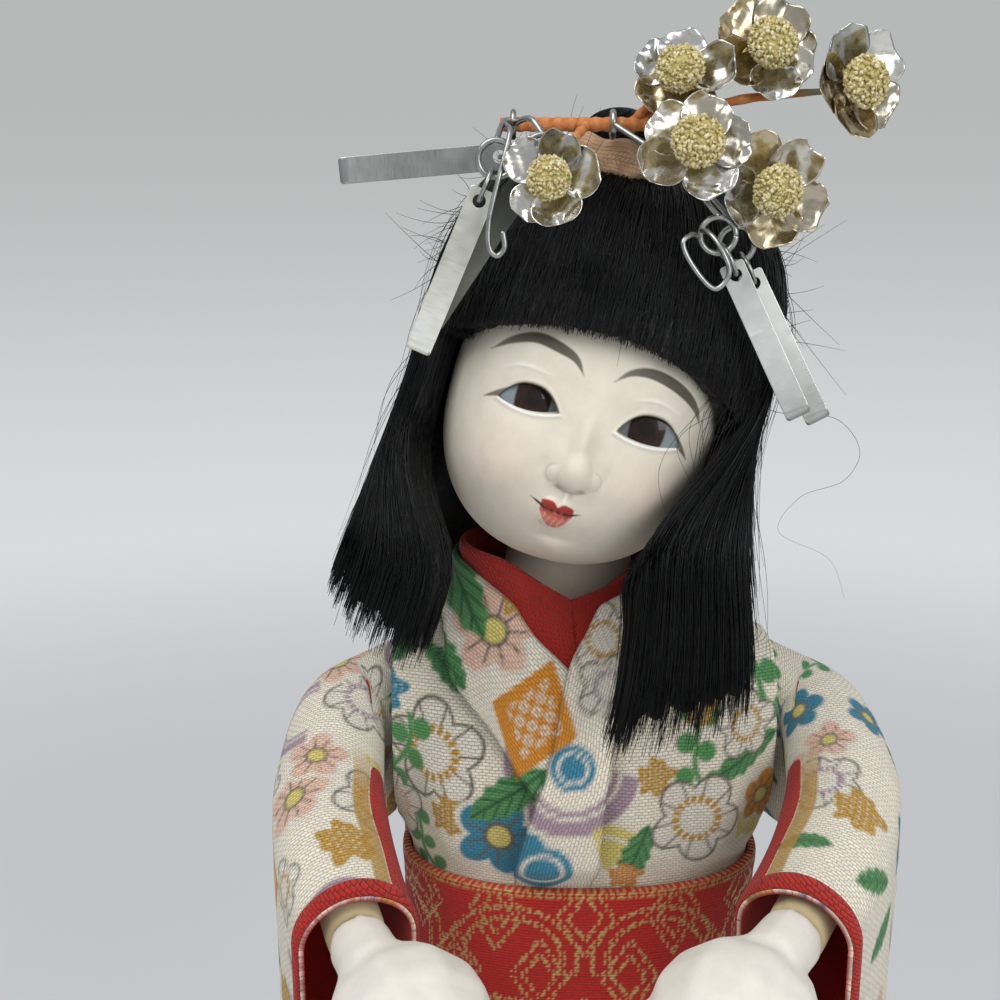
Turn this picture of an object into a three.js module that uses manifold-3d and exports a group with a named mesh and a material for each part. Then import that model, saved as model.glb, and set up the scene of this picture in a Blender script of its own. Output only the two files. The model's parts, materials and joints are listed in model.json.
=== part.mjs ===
// A Japanese girl doll in a printed kimono, standing on a lacquered board.
// Millimetres, +Z up. The doll faces -Y and +X is the viewer's right, which is the doll's own left.
// The origin is the centre of the board's underside.
import * as THREE from "three";
import { mergeVertices } from "three/addons/utils/BufferGeometryUtils.js";
import Module from "manifold-3d";

const wasm = await Module();
wasm.setup();

// Fits and cloth
const GAP = 0.3; // clearance between neighbouring pieces
const CLOTH = 1.2; // wall of a lined sleeve or skirt
const PADDING = 3; // wall of the padded bodice

// Board and legs
const BOARD_WIDTH = 118;
const BOARD_DEPTH = 100;
const BOARD_HEIGHT = 12;
const BOARD_CORNER = 9;
const BOARD_BEVEL = 1.6;
const POST_RADIUS = 3.6;
const POST_SPREAD = 8.6; // from the middle to each leg post
const POST_BACK = 3; // leg posts stand this far behind the middle
const POST_INSERT = 7; // depth of the post's hole in the board and in the body
const FOOT_LENGTH = 38;
const FOOT_WIDTH = 13.4;
const FOOT_HEIGHT = 12;
const TOE_HEIGHT = 7;
const TOE_SLIT = 0.9;

// Heights of the dressed body, one on top of the other
const HEM_LIFT = 9; // hem above the board
const SKIRT_LENGTH = 117; // hem to the lower edge of the obi
const OBI_HEIGHT = 32;
const OBI_WALL = 1.6;
const CHEST_HEIGHT = 46; // upper edge of the obi to the base of the neck
const COLLAR_STAND = 8; // collar above the base of the neck
const COLLAR_WALL = 1.1;
const COLLAR_OVERLAP = 0.9; // the left side of the collar lies over the right side
const HEM_HALF_WIDTH = 33;
const HEM_HALF_DEPTH = 26;
const WAIST_HALF_WIDTH = 28.6;
const WAIST_HALF_DEPTH = 19.6;
const CHEST_HALF_WIDTH = 34;
const CHEST_HALF_DEPTH = 21.5;
const SHOULDER_HALF_WIDTH = 38;
const SHOULDER_HALF_DEPTH = 16.5;
const NECKLINE_HALF_WIDTH = 17;
const NECKLINE_HALF_DEPTH = 13;
const NECK_SHIFT = -2.5; // the neck leans to the viewer's left

// Arms: places on the doll's left side, the right side has its own elbow and hand
const SHOULDER_SEAM = 32; // flat seam between bodice and sleeve
const ARM_DROP = 17; // arm axis below the base of the neck
const ARM_RADIUS = 4.8;
const SLEEVE_EASE = 1.1; // room between the arm and its sleeve
const SLEEVE_HALF_TOP = 7.2; // half the thickness of the hanging sleeve at the shoulder
const SLEEVE_HALF = 9; // and at its mouth
const SLEEVE_SPREAD = 4; // the sleeve's lower edge stands off the body by this much at the elbow
const WIRE_RADIUS = 1;
const WIRE_INSERT = 3.4; // wire inside each arm
const HAND_RADIUS = 12.8;
const WRIST_RADIUS = 5;
const ARM_LEFT = {
  side: 1, upper: [40, -4, -4], elbow: [42, -17, -11], fore: [37.5, -32, -18], wrist: [29, -45, -24],
};
const ARM_RIGHT = {
  side: -1, upper: [40, -4, -4], elbow: [42, -16, -12], fore: [40, -30, -19], wrist: [35, -43, -26],
};
const HAND_LEFT = [17.5, -60, -31];
const HAND_RIGHT = [26, -58, -33];
const SLEEVE_DROPS = [24, 27, 33, 43, 50]; // sleeve below the arm axis, from shoulder to mouth
const SLEEVE_FOLDS = 1.1;

// Head, in its own frame: origin between the ears at eye height, face towards -Y
const NECK_TO_EYES = 30.4;
const HEAD_BACK = -6; // the head's middle in Y
const HEAD_TILT = THREE.MathUtils.degToRad(15);
const HEAD_NOD = THREE.MathUtils.degToRad(-5);
const HEAD_HALF_WIDTH = 21.8;
const FACE_HALF_DEPTH = 22.2;
const SKULL_HALF_DEPTH = 23.5;
const SKULL_TOP = 29;
const CHIN_DROP = 24.4;
const HEAD_FULLNESS = 2.25;
const NECK_RADIUS = 8.6;
const NECK_BACK = -2;
const PEG_RADIUS = 3;
const PEG_INSERT = 5.5;
const EYE_SPREAD = 9.7;
const EYE_WIDTH = 10.8;
const EYE_RISE = 3.2; // upper lid above the corners of the eye
const EYE_FALL = 0.9; // lower lid below them
const SOCKET_DEPTH = 5;
const EYEBALL_RADIUS = 7.4;
const EYE_INSET = 0.9; // front of the eyeball behind the face

// Hair, in the head's frame
const HAIR_HALF_WIDTH = 28.6;
const HAIR_FRONT = 25.5;
const HAIR_BACK = 29.5;
const HAIR_TOP = 40;
const PARTING = 20; // height where the crown hair meets the cut lengths
const FRINGE_MIDDLE = 14.6; // height of the fringe's edge over the nose
const FRINGE_END = 7; // and at the temples
const LOCK_FLARE = 4.5; // hair widens by this much towards its cut ends
const LOCK_FLARE_LEFT = 14; // and by this much sideways on the doll's left, over the shoulder
const LOCK_THICK = 5;
const HAIR_INNER = 21.6; // inside of the lengths beside the face
const LOCK_DROP_LEFT = 46.9; // cut ends below the eyes: the front lock on the doll's left, cut level
const LOCK_HEM_RIGHT = -39; // and the lock on the doll's right, in the head's frame
const LOCK_SLANT = 7; // that lock's hem rises by this much towards the back
const BACK_DROP = 31.4; // cut ends of the back hair below the eyes
const KNOT_RADIUS = 7.5;
const KNOT_HEIGHT = 10;
const KNOT_SEAT = 4; // lower part of the topknot, sunk in the crown
const KNOT_SIDE = -4.5; // the topknot stands left of the crown
const KNOT_CLOTH_WALL = 2.2;

// Hair ornament, in the doll's frame, with heights above the eyes
const BAR_RADIUS = 1.1;
const STEM_RADIUS = 0.5;
const BAR_LEFT = -14;
const BAR_RIGHT = 10;
const BAR_LIFT = 45.1;
const PRONG_RADIUS = 0.8; // the prong holds the bar in the topknot
const PRONG_X = 6.2;
const PRONG_REACH = 10;
const PETALS = 5;
const PETAL_LENGTH = 7.4;
const PETAL_WIDTH = 6.8;
const PETAL_CUP = 1.5;
const FOIL = 0.45;
const CENTRE_RADIUS = 3.7;
const CENTRE_HEIGHT = 4.4;
const HUB_RADIUS = 1.6;
const HUB_HEIGHT = 1.2;
const STRIP_LENGTH = 25;
const STRIP_WIDTH = 3.8;
const STRIP_HOLE = 0.9;
const STRIP_EDGE = 1.8; // hole to the strip's upper end
const RING_RADIUS = 2.4;
const RING_WIRE = 0.34;
const EYELET_RADIUS = 2.6;
const HANGER_WIRE = 0.45;
const HANGER_BEND = 1.5; // a hanger's arm bows up by this much

// Obi knot at the back
const BOW_HALF_WIDTH = 33;
const BOW_HEIGHT = 28;
const BOW_LOOP = 6; // half the depth of a loop
const KNOT_BLOCK = [14, 11, 19];

// Facets round each kind of form
const BODY_SIDES = 28;
const SKIRT_SIDES = 36;
const SLEEVE_SIDES = 18;
const SLEEVE_STATIONS = 8;
const ROD_SIDES = 10;
const WIRE_SIDES = 6;
const RING_STEPS = 10;
const CROWN_SIDES = 18;
const FACE_COLUMNS = 34;
const FACE_ROWS = 15;
const TORSO_SIDES = 16;
const PETAL_ROWS = 3;

const Z_AXIS = new THREE.Vector3(0, 0, 1);
const Y_AXIS = new THREE.Vector3(0, 1, 0);
const HEM_Z = BOARD_HEIGHT + HEM_LIFT;
const OBI_Z = HEM_Z + SKIRT_LENGTH;
const OBI_TOP = OBI_Z + OBI_HEIGHT;
const NECK_Z = OBI_TOP + CHEST_HEIGHT;
const ARM_Z = NECK_Z - ARM_DROP;
const EYE_Z = NECK_Z + NECK_TO_EYES;
const BAR_Z = EYE_Z + BAR_LIFT;

const point = (x, y, z) => new THREE.Vector3(x, y, z);
const mix = (a, b, t) => a + (b - a) * t;
const ease = (a, b, t) => THREE.MathUtils.smoothstep(t, a, b);
const steps = (count) => Array.from({ length: count + 1 }, (_, i) => i / count);

// A closed geometry whose faces point out, from bare positions and triangles.
function closedGeometry(position, index) {
  const corner = (i) => point(position[3 * i], position[3 * i + 1], position[3 * i + 2]);
  let volume = 0;
  for (let i = 0; i < index.length; i += 3) {
    volume += corner(index[i]).dot(corner(index[i + 1]).cross(corner(index[i + 2])));
  }
  const outward = volume > 0 ? index : index.toReversed();
  const geometry = new THREE.BufferGeometry();
  geometry.setAttribute("position", new THREE.Float32BufferAttribute(position, 3));
  geometry.setIndex(outward);
  return geometry;
}

// A sheet between two grids of points with the same rows and columns.
// A wrapped sheet closes along its columns.
function slab(outer, inner, wrap = false) {
  const rows = outer.length;
  const cols = outer[0].length;
  const position = [...outer.flat(), ...inner.flat()].flatMap((p) => [p.x, p.y, p.z]);
  const index = [];
  const at = (side, r, c) => side * rows * cols + r * cols + (c % cols);
  const quad = (a, b, c, d) => index.push(a, b, c, a, c, d);
  const last = rows - 1;
  const edge = cols - 1;
  for (let c = 0; c < (wrap ? cols : edge); c++) {
    for (let r = 0; r < last; r++) {
      quad(at(0, r, c), at(0, r, c + 1), at(0, r + 1, c + 1), at(0, r + 1, c));
      quad(at(1, r, c), at(1, r + 1, c), at(1, r + 1, c + 1), at(1, r, c + 1));
    }
    quad(at(0, 0, c), at(1, 0, c), at(1, 0, c + 1), at(0, 0, c + 1));
    quad(at(0, last, c), at(0, last, c + 1), at(1, last, c + 1), at(1, last, c));
  }
  for (let r = 0; r < last && !wrap; r++) {
    quad(at(0, r, 0), at(0, r + 1, 0), at(1, r + 1, 0), at(1, r, 0));
    quad(at(0, r, edge), at(1, r, edge), at(1, r + 1, edge), at(0, r + 1, edge));
  }
  return closedGeometry(position, index);
}

// A solid through a row of closed loops, each end drawn together to the middle of its loop.
function loft(loops) {
  const middle = (loop) => loop.reduce((sum, p) => sum.add(p), point(0, 0, 0)).divideScalar(loop.length);
  const cols = loops[0].length;
  const points = [middle(loops[0]), ...loops.flat(), middle(loops.at(-1))];
  const position = points.flatMap((p) => [p.x, p.y, p.z]);
  const index = [];
  const at = (r, c) => 1 + r * cols + (c % cols);
  const end = 1 + loops.length * cols;
  for (let c = 0; c < cols; c++) {
    index.push(0, at(0, c + 1), at(0, c));
    for (let r = 0; r < loops.length - 1; r++) {
      index.push(at(r, c), at(r, c + 1), at(r + 1, c + 1), at(r, c), at(r + 1, c + 1), at(r + 1, c));
    }
    index.push(end, at(loops.length - 1, c), at(loops.length - 1, c + 1));
  }
  return closedGeometry(position, index);
}

function toSolid(geometry) {
  const bare = geometry.clone();
  bare.deleteAttribute("normal");
  bare.deleteAttribute("uv");
  const merged = mergeVertices(bare, 1e-4);
  const vertProperties = new Float32Array(merged.getAttribute("position").array);
  const triVerts = new Uint32Array(merged.getIndex().array);
  return new wasm.Manifold(new wasm.Mesh({ numProp: 3, vertProperties, triVerts }));
}

function toGeometry(solid) {
  const mesh = solid.getMesh();
  const geometry = new THREE.BufferGeometry();
  geometry.setAttribute("position", new THREE.BufferAttribute(mesh.vertProperties, 3));
  geometry.setIndex(new THREE.BufferAttribute(mesh.triVerts, 1));
  return geometry;
}

const united = (...parts) => parts.map(toSolid).reduce((all, one) => all.add(one));
const without = (geometry, ...cutters) => {
  return toGeometry(cutters.map(toSolid).reduce((rest, cutter) => rest.subtract(cutter), toSolid(geometry)));
};
const union = (...parts) => toGeometry(united(...parts));

// A round rod between two points.
function rod(from, to, radius, sides = ROD_SIDES) {
  const axis = to.clone().sub(from);
  const geometry = new THREE.CylinderGeometry(radius, radius, axis.length(), sides);
  const turn = new THREE.Quaternion().setFromUnitVectors(Y_AXIS, axis.clone().normalize());
  geometry.applyQuaternion(turn);
  return geometry.translate(...from.clone().add(to).multiplyScalar(0.5).toArray());
}

// A wire along a smooth curve through some points.
function wire(points, radius, count) {
  const section = new THREE.Shape().absarc(0, 0, radius, 0, 2 * Math.PI);
  const extrudePath = new THREE.CatmullRomCurve3(points);
  const settings = { steps: count, curveSegments: WIRE_SIDES / 2, extrudePath, bevelEnabled: false };
  return new THREE.ExtrudeGeometry(section, settings);
}

function ball(radii, centre, sides = 10, rings = 7) {
  return new THREE.SphereGeometry(1, sides, rings).scale(...radii).translate(...centre);
}

const doll = new THREE.Group();
function add(group, name, geometry, color, roughness, metalness = 0) {
  const mesh = new THREE.Mesh(geometry, new THREE.MeshStandardMaterial({ color, roughness, metalness }));
  mesh.name = name;
  group.add(mesh);
  return mesh;
}

// Girth of the body: half width, half depth and sideways shift at a height, smooth between the rows.
const SHOULDER_SLOPE_HALF_WIDTH = mix(SHOULDER_HALF_WIDTH, NECKLINE_HALF_WIDTH, 0.42);
const BODY_ROWS = [
  [OBI_Z, WAIST_HALF_WIDTH, WAIST_HALF_DEPTH, 0],
  [OBI_TOP, WAIST_HALF_WIDTH + 1, WAIST_HALF_DEPTH + 0.8, 0],
  [mix(OBI_TOP, NECK_Z, 0.3), CHEST_HALF_WIDTH, CHEST_HALF_DEPTH, 0],
  [mix(OBI_TOP, NECK_Z, 0.54), SHOULDER_HALF_WIDTH, CHEST_HALF_DEPTH - 1, 0],
  [mix(OBI_TOP, NECK_Z, 0.74), SHOULDER_HALF_WIDTH, SHOULDER_HALF_DEPTH, 0],
  [mix(OBI_TOP, NECK_Z, 0.86), SHOULDER_SLOPE_HALF_WIDTH, SHOULDER_HALF_DEPTH - 1.6, NECK_SHIFT / 2],
  [NECK_Z, NECKLINE_HALF_WIDTH + 1, NECKLINE_HALF_DEPTH + 0.6, NECK_SHIFT],
  [NECK_Z + COLLAR_STAND, NECKLINE_HALF_WIDTH, NECKLINE_HALF_DEPTH, NECK_SHIFT],
];
const SKIRT_ROWS = [
  [HEM_Z, HEM_HALF_WIDTH, HEM_HALF_DEPTH, 0],
  [mix(HEM_Z, OBI_Z, 0.2), HEM_HALF_WIDTH - 3, HEM_HALF_DEPTH - 2.4, 0],
  [mix(HEM_Z, OBI_Z, 0.7), WAIST_HALF_WIDTH + 2, WAIST_HALF_DEPTH + 2.6, 0],
  [OBI_Z, WAIST_HALF_WIDTH - GAP, WAIST_HALF_DEPTH - GAP, 0],
  [OBI_TOP, WAIST_HALF_WIDTH - GAP, WAIST_HALF_DEPTH - GAP, 0],
];
const ROUNDNESS = 2.3;

function girth(rows, z) {
  const last = rows.length - 2;
  let k = rows.findIndex((row, i) => i === last || z < rows[i + 1][0]);
  k = Math.max(k, 0);
  const span = rows[k + 1][0] - rows[k][0];
  const t = (z - rows[k][0]) / span;
  const slope = (i, column) => {
    const a = rows[Math.max(i - 1, 0)];
    const b = rows[Math.min(i + 1, rows.length - 1)];
    return ((b[column] - a[column]) / (b[0] - a[0])) * span;
  };
  const value = (column) => {
    const p = rows[k][column];
    const q = rows[k + 1][column];
    const s = slope(k, column);
    const e = slope(k + 1, column);
    return p + t * (s + t * (3 * (q - p) - 2 * s - e + t * (2 * (p - q) + s + e)));
  };
  return { width: value(1), depth: value(2), shift: value(3) };
}

// One closed loop round the body at a height, a set distance outside its surface.
function bodyLoop(rows, z, offset, sides, fold = () => 0) {
  const here = girth(rows, z);
  const above = girth(rows, z + 0.5);
  const below = girth(rows, z - 0.5);
  const wide = above.width - below.width;
  const deep = above.depth - below.depth;
  const lean = (wide + deep) / 2;
  const width = here.width + offset / Math.hypot(1, wide);
  const depth = here.depth + offset / Math.hypot(1, deep);
  const height = z - (offset * lean) / Math.hypot(1, lean);
  return Array.from({ length: sides }, (_, i) => {
    const angle = (2 * Math.PI * i) / sides;
    const c = Math.sin(angle);
    const s = -Math.cos(angle);
    const reach = (Math.abs(c) ** ROUNDNESS + Math.abs(s) ** ROUNDNESS) ** (-1 / ROUNDNESS);
    const swell = fold(angle, z);
    return point(here.shift + (width + swell) * c * reach, (depth + swell) * s * reach, height);
  });
}

function bodyShell(rows, heights, from, to, sides, fold) {
  const outer = heights.map((z) => bodyLoop(rows, z, to, sides, fold));
  const inner = heights.map((z) => bodyLoop(rows, z, from, sides, fold));
  return slab(outer, inner, true);
}

function bodySolid(rows, heights, offset, sides) {
  return loft(heights.map((z) => bodyLoop(rows, z, offset, sides)));
}

// Board with the two holes for the leg posts.
const legX = (side) => side * POST_SPREAD;
const boardOutline = new THREE.Shape();
{
  const x = BOARD_WIDTH / 2 - BOARD_BEVEL;
  const y = BOARD_DEPTH / 2 - BOARD_BEVEL;
  const r = BOARD_CORNER;
  boardOutline.absarc(x - r, y - r, r, 0, Math.PI / 2);
  boardOutline.absarc(r - x, y - r, r, Math.PI / 2, Math.PI);
  boardOutline.absarc(r - x, r - y, r, Math.PI, 1.5 * Math.PI);
  boardOutline.absarc(x - r, r - y, r, 1.5 * Math.PI, 2 * Math.PI);
}
const boardBlank = new THREE.ExtrudeGeometry(boardOutline, {
  depth: BOARD_HEIGHT - 2 * BOARD_BEVEL,
  bevelSize: BOARD_BEVEL,
  bevelThickness: BOARD_BEVEL,
  bevelSegments: 1,
  curveSegments: 4,
}).translate(0, 0, BOARD_BEVEL);
const postHole = (side, bottom, top) => {
  return rod(point(legX(side), POST_BACK, bottom), point(legX(side), POST_BACK, top), POST_RADIUS + GAP);
};
const boardHoles = [1, -1].map((side) => postHole(side, BOARD_HEIGHT - POST_INSERT, BOARD_HEIGHT + 1));
add(doll, "base_board", without(boardBlank, ...boardHoles), "#17100d", 0.25);

// Feet in split-toed socks, each round its leg post.
const TORSO_BOTTOM = OBI_Z - 4;
function foot(side) {
  const floor = BOARD_HEIGHT + GAP;
  const heel = POST_BACK + 0.3 * FOOT_LENGTH;
  const loops = steps(8).map((t) => {
    const y = heel - t * FOOT_LENGTH;
    const end = Math.min(t, 1 - t);
    const half = (FOOT_WIDTH / 2) * (0.42 + 0.58 * ease(0, 0.22, end)) * mix(0.84, 1, ease(0.2, 0.7, t));
    const high = mix(FOOT_HEIGHT, TOE_HEIGHT, ease(0.35, 0.75, t)) * (0.5 + 0.5 * ease(0, 0.14, end));
    return Array.from({ length: 14 }, (_, i) => {
      const angle = (2 * Math.PI * i) / 14;
      const up = Math.max(0, 0.5 + 0.62 * Math.sin(angle));
      return point(legX(side) + half * Math.cos(angle), y, floor + high * Math.min(up, 1));
    });
  });
  const slit = new THREE.BoxGeometry(TOE_SLIT, 0.26 * FOOT_LENGTH, FOOT_HEIGHT);
  slit.translate(legX(side) - side * 0.14 * FOOT_WIDTH, heel - FOOT_LENGTH, floor + FOOT_HEIGHT / 2 + 1);
  return without(loft(loops), postHole(side, BOARD_HEIGHT, BOARD_HEIGHT + 2 * FOOT_HEIGHT), slit);
}
for (const [side, hand] of [[1, "left"], [-1, "right"]]) {
  add(doll, `foot_${hand}`, foot(side), "#f0ece2", 0.8);
  const bottom = point(legX(side), POST_BACK, BOARD_HEIGHT - POST_INSERT + GAP);
  const top = point(legX(side), POST_BACK, TORSO_BOTTOM + POST_INSERT - GAP);
  add(doll, `leg_post_${hand}`, rod(bottom, top, POST_RADIUS), "#b9935e", 0.7);
}

// Stuffed body inside the dress, bored for the leg posts, the arm wire and the neck peg.
const TORSO_TOP = mix(OBI_TOP, NECK_Z, 0.8);
const shoulderCut = (x) => [1, -1].map((side) => {
  const block = new THREE.BoxGeometry(60, 120, 160);
  return block.translate(side * (x + 30), 0, OBI_TOP + 40);
});
const wireEnd = SHOULDER_SEAM + GAP + WIRE_INSERT;
const armAxis = (x) => point(x, 0, ARM_Z);
const wireHole = rod(armAxis(-wireEnd), armAxis(wireEnd), WIRE_RADIUS + GAP, 8);
const neckAxis = (z) => point(NECK_SHIFT, NECK_BACK, z);
const torsoHeights = steps(6).map((t) => mix(TORSO_BOTTOM, TORSO_TOP, t));
const torsoBlank = bodySolid(BODY_ROWS, torsoHeights, -(PADDING + 2 * GAP), TORSO_SIDES);
const torsoPosts = [1, -1].map((side) => postHole(side, TORSO_BOTTOM - 1, TORSO_BOTTOM + POST_INSERT));
const torsoPeg = rod(neckAxis(TORSO_TOP - PEG_INSERT), neckAxis(TORSO_TOP + 5), PEG_RADIUS + GAP);
const torsoCutters = [...torsoPosts, torsoPeg, wireHole, ...shoulderCut(SHOULDER_SEAM - PADDING)];
add(doll, "torso_core", without(torsoBlank, ...torsoCutters), "#c9a86a", 0.95);
add(doll, "arm_wire", rod(armAxis(GAP - wireEnd), armAxis(wireEnd - GAP), WIRE_RADIUS, 8), "#8d8d8d", 0.4, 1);

// Kimono: padded bodice, skirt with its wrapped front, red lining, obi and collars.
const WRAP_ANGLE = 0.42; // edge of the wrapped front, from straight ahead towards the doll's right
const WRAP_STEP = 1.3;
const bodiceBottom = OBI_Z + OBI_HEIGHT / 2;
const midChest = mix(OBI_TOP, NECK_Z, 0.5);
const bodiceHeights = [bodiceBottom, ...steps(4).map((t) => mix(OBI_TOP, midChest, t)),
  ...steps(6).slice(1).map((t) => mix(midChest, NECK_Z, t))];
const bodiceFold = (angle, z) => {
  const rise = ease(OBI_TOP, OBI_TOP + 6, z) * (1 - ease(OBI_TOP + 14, ARM_Z, z));
  return rise * (0.9 * Math.sin(7 * angle) ** 2 + 0.5);
};
const bodiceBlank = bodyShell(BODY_ROWS, bodiceHeights, -PADDING, 0, BODY_SIDES, bodiceFold);
add(doll, "kimono_bodice", without(bodiceBlank, wireHole, ...shoulderCut(SHOULDER_SEAM)), "#e8e2d0", 0.9);

const skirtTop = bodiceBottom - GAP;
const skirtHeights = steps(6).map((t) => mix(HEM_Z, skirtTop, t));
const skirtFold = (angle, z) => {
  const turn = THREE.MathUtils.euclideanModulo(angle + WRAP_ANGLE, 2 * Math.PI);
  const wrap = ease(0, 0.14, turn) * (1 - ease(2.2, 4.4, turn)) - 1;
  const fade = 1 - ease(mix(HEM_Z, OBI_Z, 0.5), OBI_Z - 4, z);
  const front = 1 - ease(OBI_Z - 14, OBI_Z - 2, z);
  return front * WRAP_STEP * wrap + fade * 0.8 * (Math.sin(6 * angle + 0.9) ** 2 - 0.5);
};
const skirtShell = bodyShell(SKIRT_ROWS, skirtHeights, -CLOTH, 0, SKIRT_SIDES, skirtFold);
add(doll, "kimono_skirt", skirtShell, "#e8e2d0", 0.9);
const liningHeights = skirtHeights.slice(0, 2);
const liningFace = -CLOTH - GAP;
const liningBack = liningFace - CLOTH;
const lining = bodyShell(SKIRT_ROWS, liningHeights, liningBack, liningFace, SKIRT_SIDES, skirtFold);
add(doll, "skirt_lining", lining, "#b5121b", 0.8);
const obiHeights = [OBI_Z, bodiceBottom, OBI_TOP];
add(doll, "obi_band", bodyShell(BODY_ROWS, obiHeights, GAP, GAP + OBI_WALL, BODY_SIDES), "#a3161c", 0.6);

// Obi knot at the back: a folded block between two drooping loops.
const obiBack = girth(BODY_ROWS, OBI_Z + OBI_HEIGHT / 2).depth + GAP + OBI_WALL;
const bowZ = OBI_Z + OBI_HEIGHT / 2 + 2;
function bow(side) {
  const loops = (inset) => steps(3).map((v) => {
    return Array.from({ length: 16 }, (_, i) => {
      const angle = (2 * Math.PI * i) / 16;
      const along = 0.5 + 0.5 * Math.cos(angle);
      const reach = mix(KNOT_BLOCK[0] / 2 + GAP + inset, BOW_HALF_WIDTH - inset, along);
      const pinch = mix(0.36, 1, ease(0, 0.55, along));
      const depth = (BOW_LOOP * pinch - inset) * Math.sin(angle);
      const droop = 4 * along * along;
      const height = mix(0.5, 1, ease(0, 0.8, along)) * BOW_HEIGHT * (v - 0.5);
      return point(side * reach, obiBack + GAP + BOW_LOOP + depth, bowZ - droop + height);
    });
  });
  return slab(loops(0), loops(0.9), true);
}
add(doll, "obi_bow_left", bow(1), "#a3161c", 0.6);
add(doll, "obi_bow_right", bow(-1), "#a3161c", 0.6);
const blockHalf = KNOT_BLOCK.map((size) => size / 2);
const obiKnot = ball(blockHalf.map((half) => half * 1.2), [0, 0, 0]);
const knotBox = new THREE.BoxGeometry(...KNOT_BLOCK);
const knotSolid = toGeometry(toSolid(obiKnot).intersect(toSolid(knotBox)));
add(doll, "obi_knot", knotSolid.translate(0, obiBack + GAP + KNOT_BLOCK[1] / 2, bowZ), "#a3161c", 0.6);

// Collars: bands cut from shells that follow the chest and the neck. Outlines are seen from the front.
const collarTop = NECK_Z + COLLAR_STAND;
const collarHeights = [...steps(4).map((t) => mix(OBI_TOP, mix(OBI_TOP, NECK_Z, 0.7), t)),
  ...steps(5).slice(1).map((t) => mix(mix(OBI_TOP, NECK_Z, 0.7), collarTop, t))];
const bladeDepth = 60;
function blade(outline, y) {
  const shape = new THREE.Shape(outline.map(([x, z]) => new THREE.Vector2(NECK_SHIFT + x, NECK_Z + z)));
  const prism = new THREE.ExtrudeGeometry(shape, { depth: bladeDepth, bevelEnabled: false });
  return prism.rotateX(Math.PI / 2).translate(0, y, 0);
}
function band(from, to, outline, y) {
  const shell = bodyShell(BODY_ROWS, collarHeights, from, to, BODY_SIDES, bodiceFold);
  return toSolid(shell).intersect(toSolid(blade(outline, y)));
}
const FRONT = 0;
const BEHIND = bladeDepth;
const above = COLLAR_STAND + 4;
const chest = OBI_TOP + GAP - NECK_Z;
const overBand = [[7, above], [19, above], [17, -3], [10, -13], [3, chest], [-9, chest], [-3, -22], [0.5, -9]];
const underBand = [[-16, above], [-26, above], [-22, -4], [-14, -17], [-7, -26], [1, -26], [1, -12], [-9, 0]];
const napeBand = [[-26, above], [26, above], [26, -6], [-26, -6]];
const redBand = [[-10, above], [-24, above], [-20, -1], [-9, -10], [0.5, -16], [8, -10], [15, above],
  [11, above], [9.5, 5.5], [0, 1]];
const redNape = [[-26, above], [26, above], [26, -4], [-26, -4]];
const redFrom = GAP;
const redTo = redFrom + COLLAR_WALL;
const overFrom = redTo + GAP;
const overTo = overFrom + COLLAR_WALL;
const red = band(redFrom, redTo, redBand, FRONT).add(band(redFrom, redTo, redNape, BEHIND));
add(doll, "under_collar", toGeometry(red), "#c01a22", 0.75);
const lowered = (outline) => outline.map(([x, z]) => [x, Math.min(z, COLLAR_STAND - 2)]);
const collar = band(overFrom, overTo + COLLAR_OVERLAP, lowered(overBand), FRONT)
  .add(band(overFrom, overTo, lowered(underBand), FRONT))
  .add(band(overFrom, overTo, lowered(napeBand), BEHIND));
add(doll, "kimono_collar", toGeometry(collar), "#e8e2d0", 0.9);

// Arms, sleeves and hands. A station frame holds a point on the arm, the inner side and the way along.
function armStations(arm) {
  const place = ([x, y, z]) => point(x, y, ARM_Z + z);
  const seam = point(SHOULDER_SEAM + GAP, 0, ARM_Z);
  const through = [seam, place(arm.upper), place(arm.elbow), place(arm.fore), place(arm.wrist)];
  const curve = new THREE.CatmullRomCurve3(through);
  return steps(SLEEVE_STATIONS).map((t) => {
    const centre = curve.getPoint(t);
    const level = curve.getTangent(t).setZ(0).normalize();
    const heading = level.lerp(point(1, 0, 0), Math.max(0, 1 - 4 * t)).normalize();
    const inner = point(heading.y, -heading.x, 0);
    const k = t * (SLEEVE_DROPS.length - 1);
    const low = Math.min(Math.floor(k), SLEEVE_DROPS.length - 2);
    const drop = mix(SLEEVE_DROPS[low], SLEEVE_DROPS[low + 1], k - low);
    return { t, centre, inner, drop };
  });
}
const mirrored = (side, p) => point(side * p.x, p.y, p.z);
function sleeveGrid(arm, inset) {
  return armStations(arm).map(({ t, centre, inner, drop }) => {
    return Array.from({ length: SLEEVE_SIDES }, (_, i) => {
      const angle = (2 * Math.PI * i) / SLEEVE_SIDES;
      const across = Math.cos(angle);
      const up = Math.sin(angle);
      const power = up > 0 ? 1 : 0.62;
      const half = mix(SLEEVE_HALF_TOP, SLEEVE_HALF, ease(0, 0.6, t)) - inset;
      const wide = half * Math.sign(across) * Math.abs(across) ** power;
      const tall = up > 0 ? ARM_RADIUS + SLEEVE_EASE + CLOTH - inset : drop - inset;
      const hang = Math.max(0, -up);
      const fold = SLEEVE_FOLDS * Math.sin(11 * t + 2.4 * hang) * ease(0, 0.2, t) * hang;
      const spread = SLEEVE_SPREAD * Math.sin(Math.PI * t) * hang;
      const offset = inner.clone().multiplyScalar(wide * mix(1, 0.75, hang) + fold - spread);
      const height = tall * Math.sign(up) * Math.abs(up) ** power;
      return mirrored(arm.side, centre.clone().add(offset).add(point(0, 0, height)));
    });
  });
}
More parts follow.
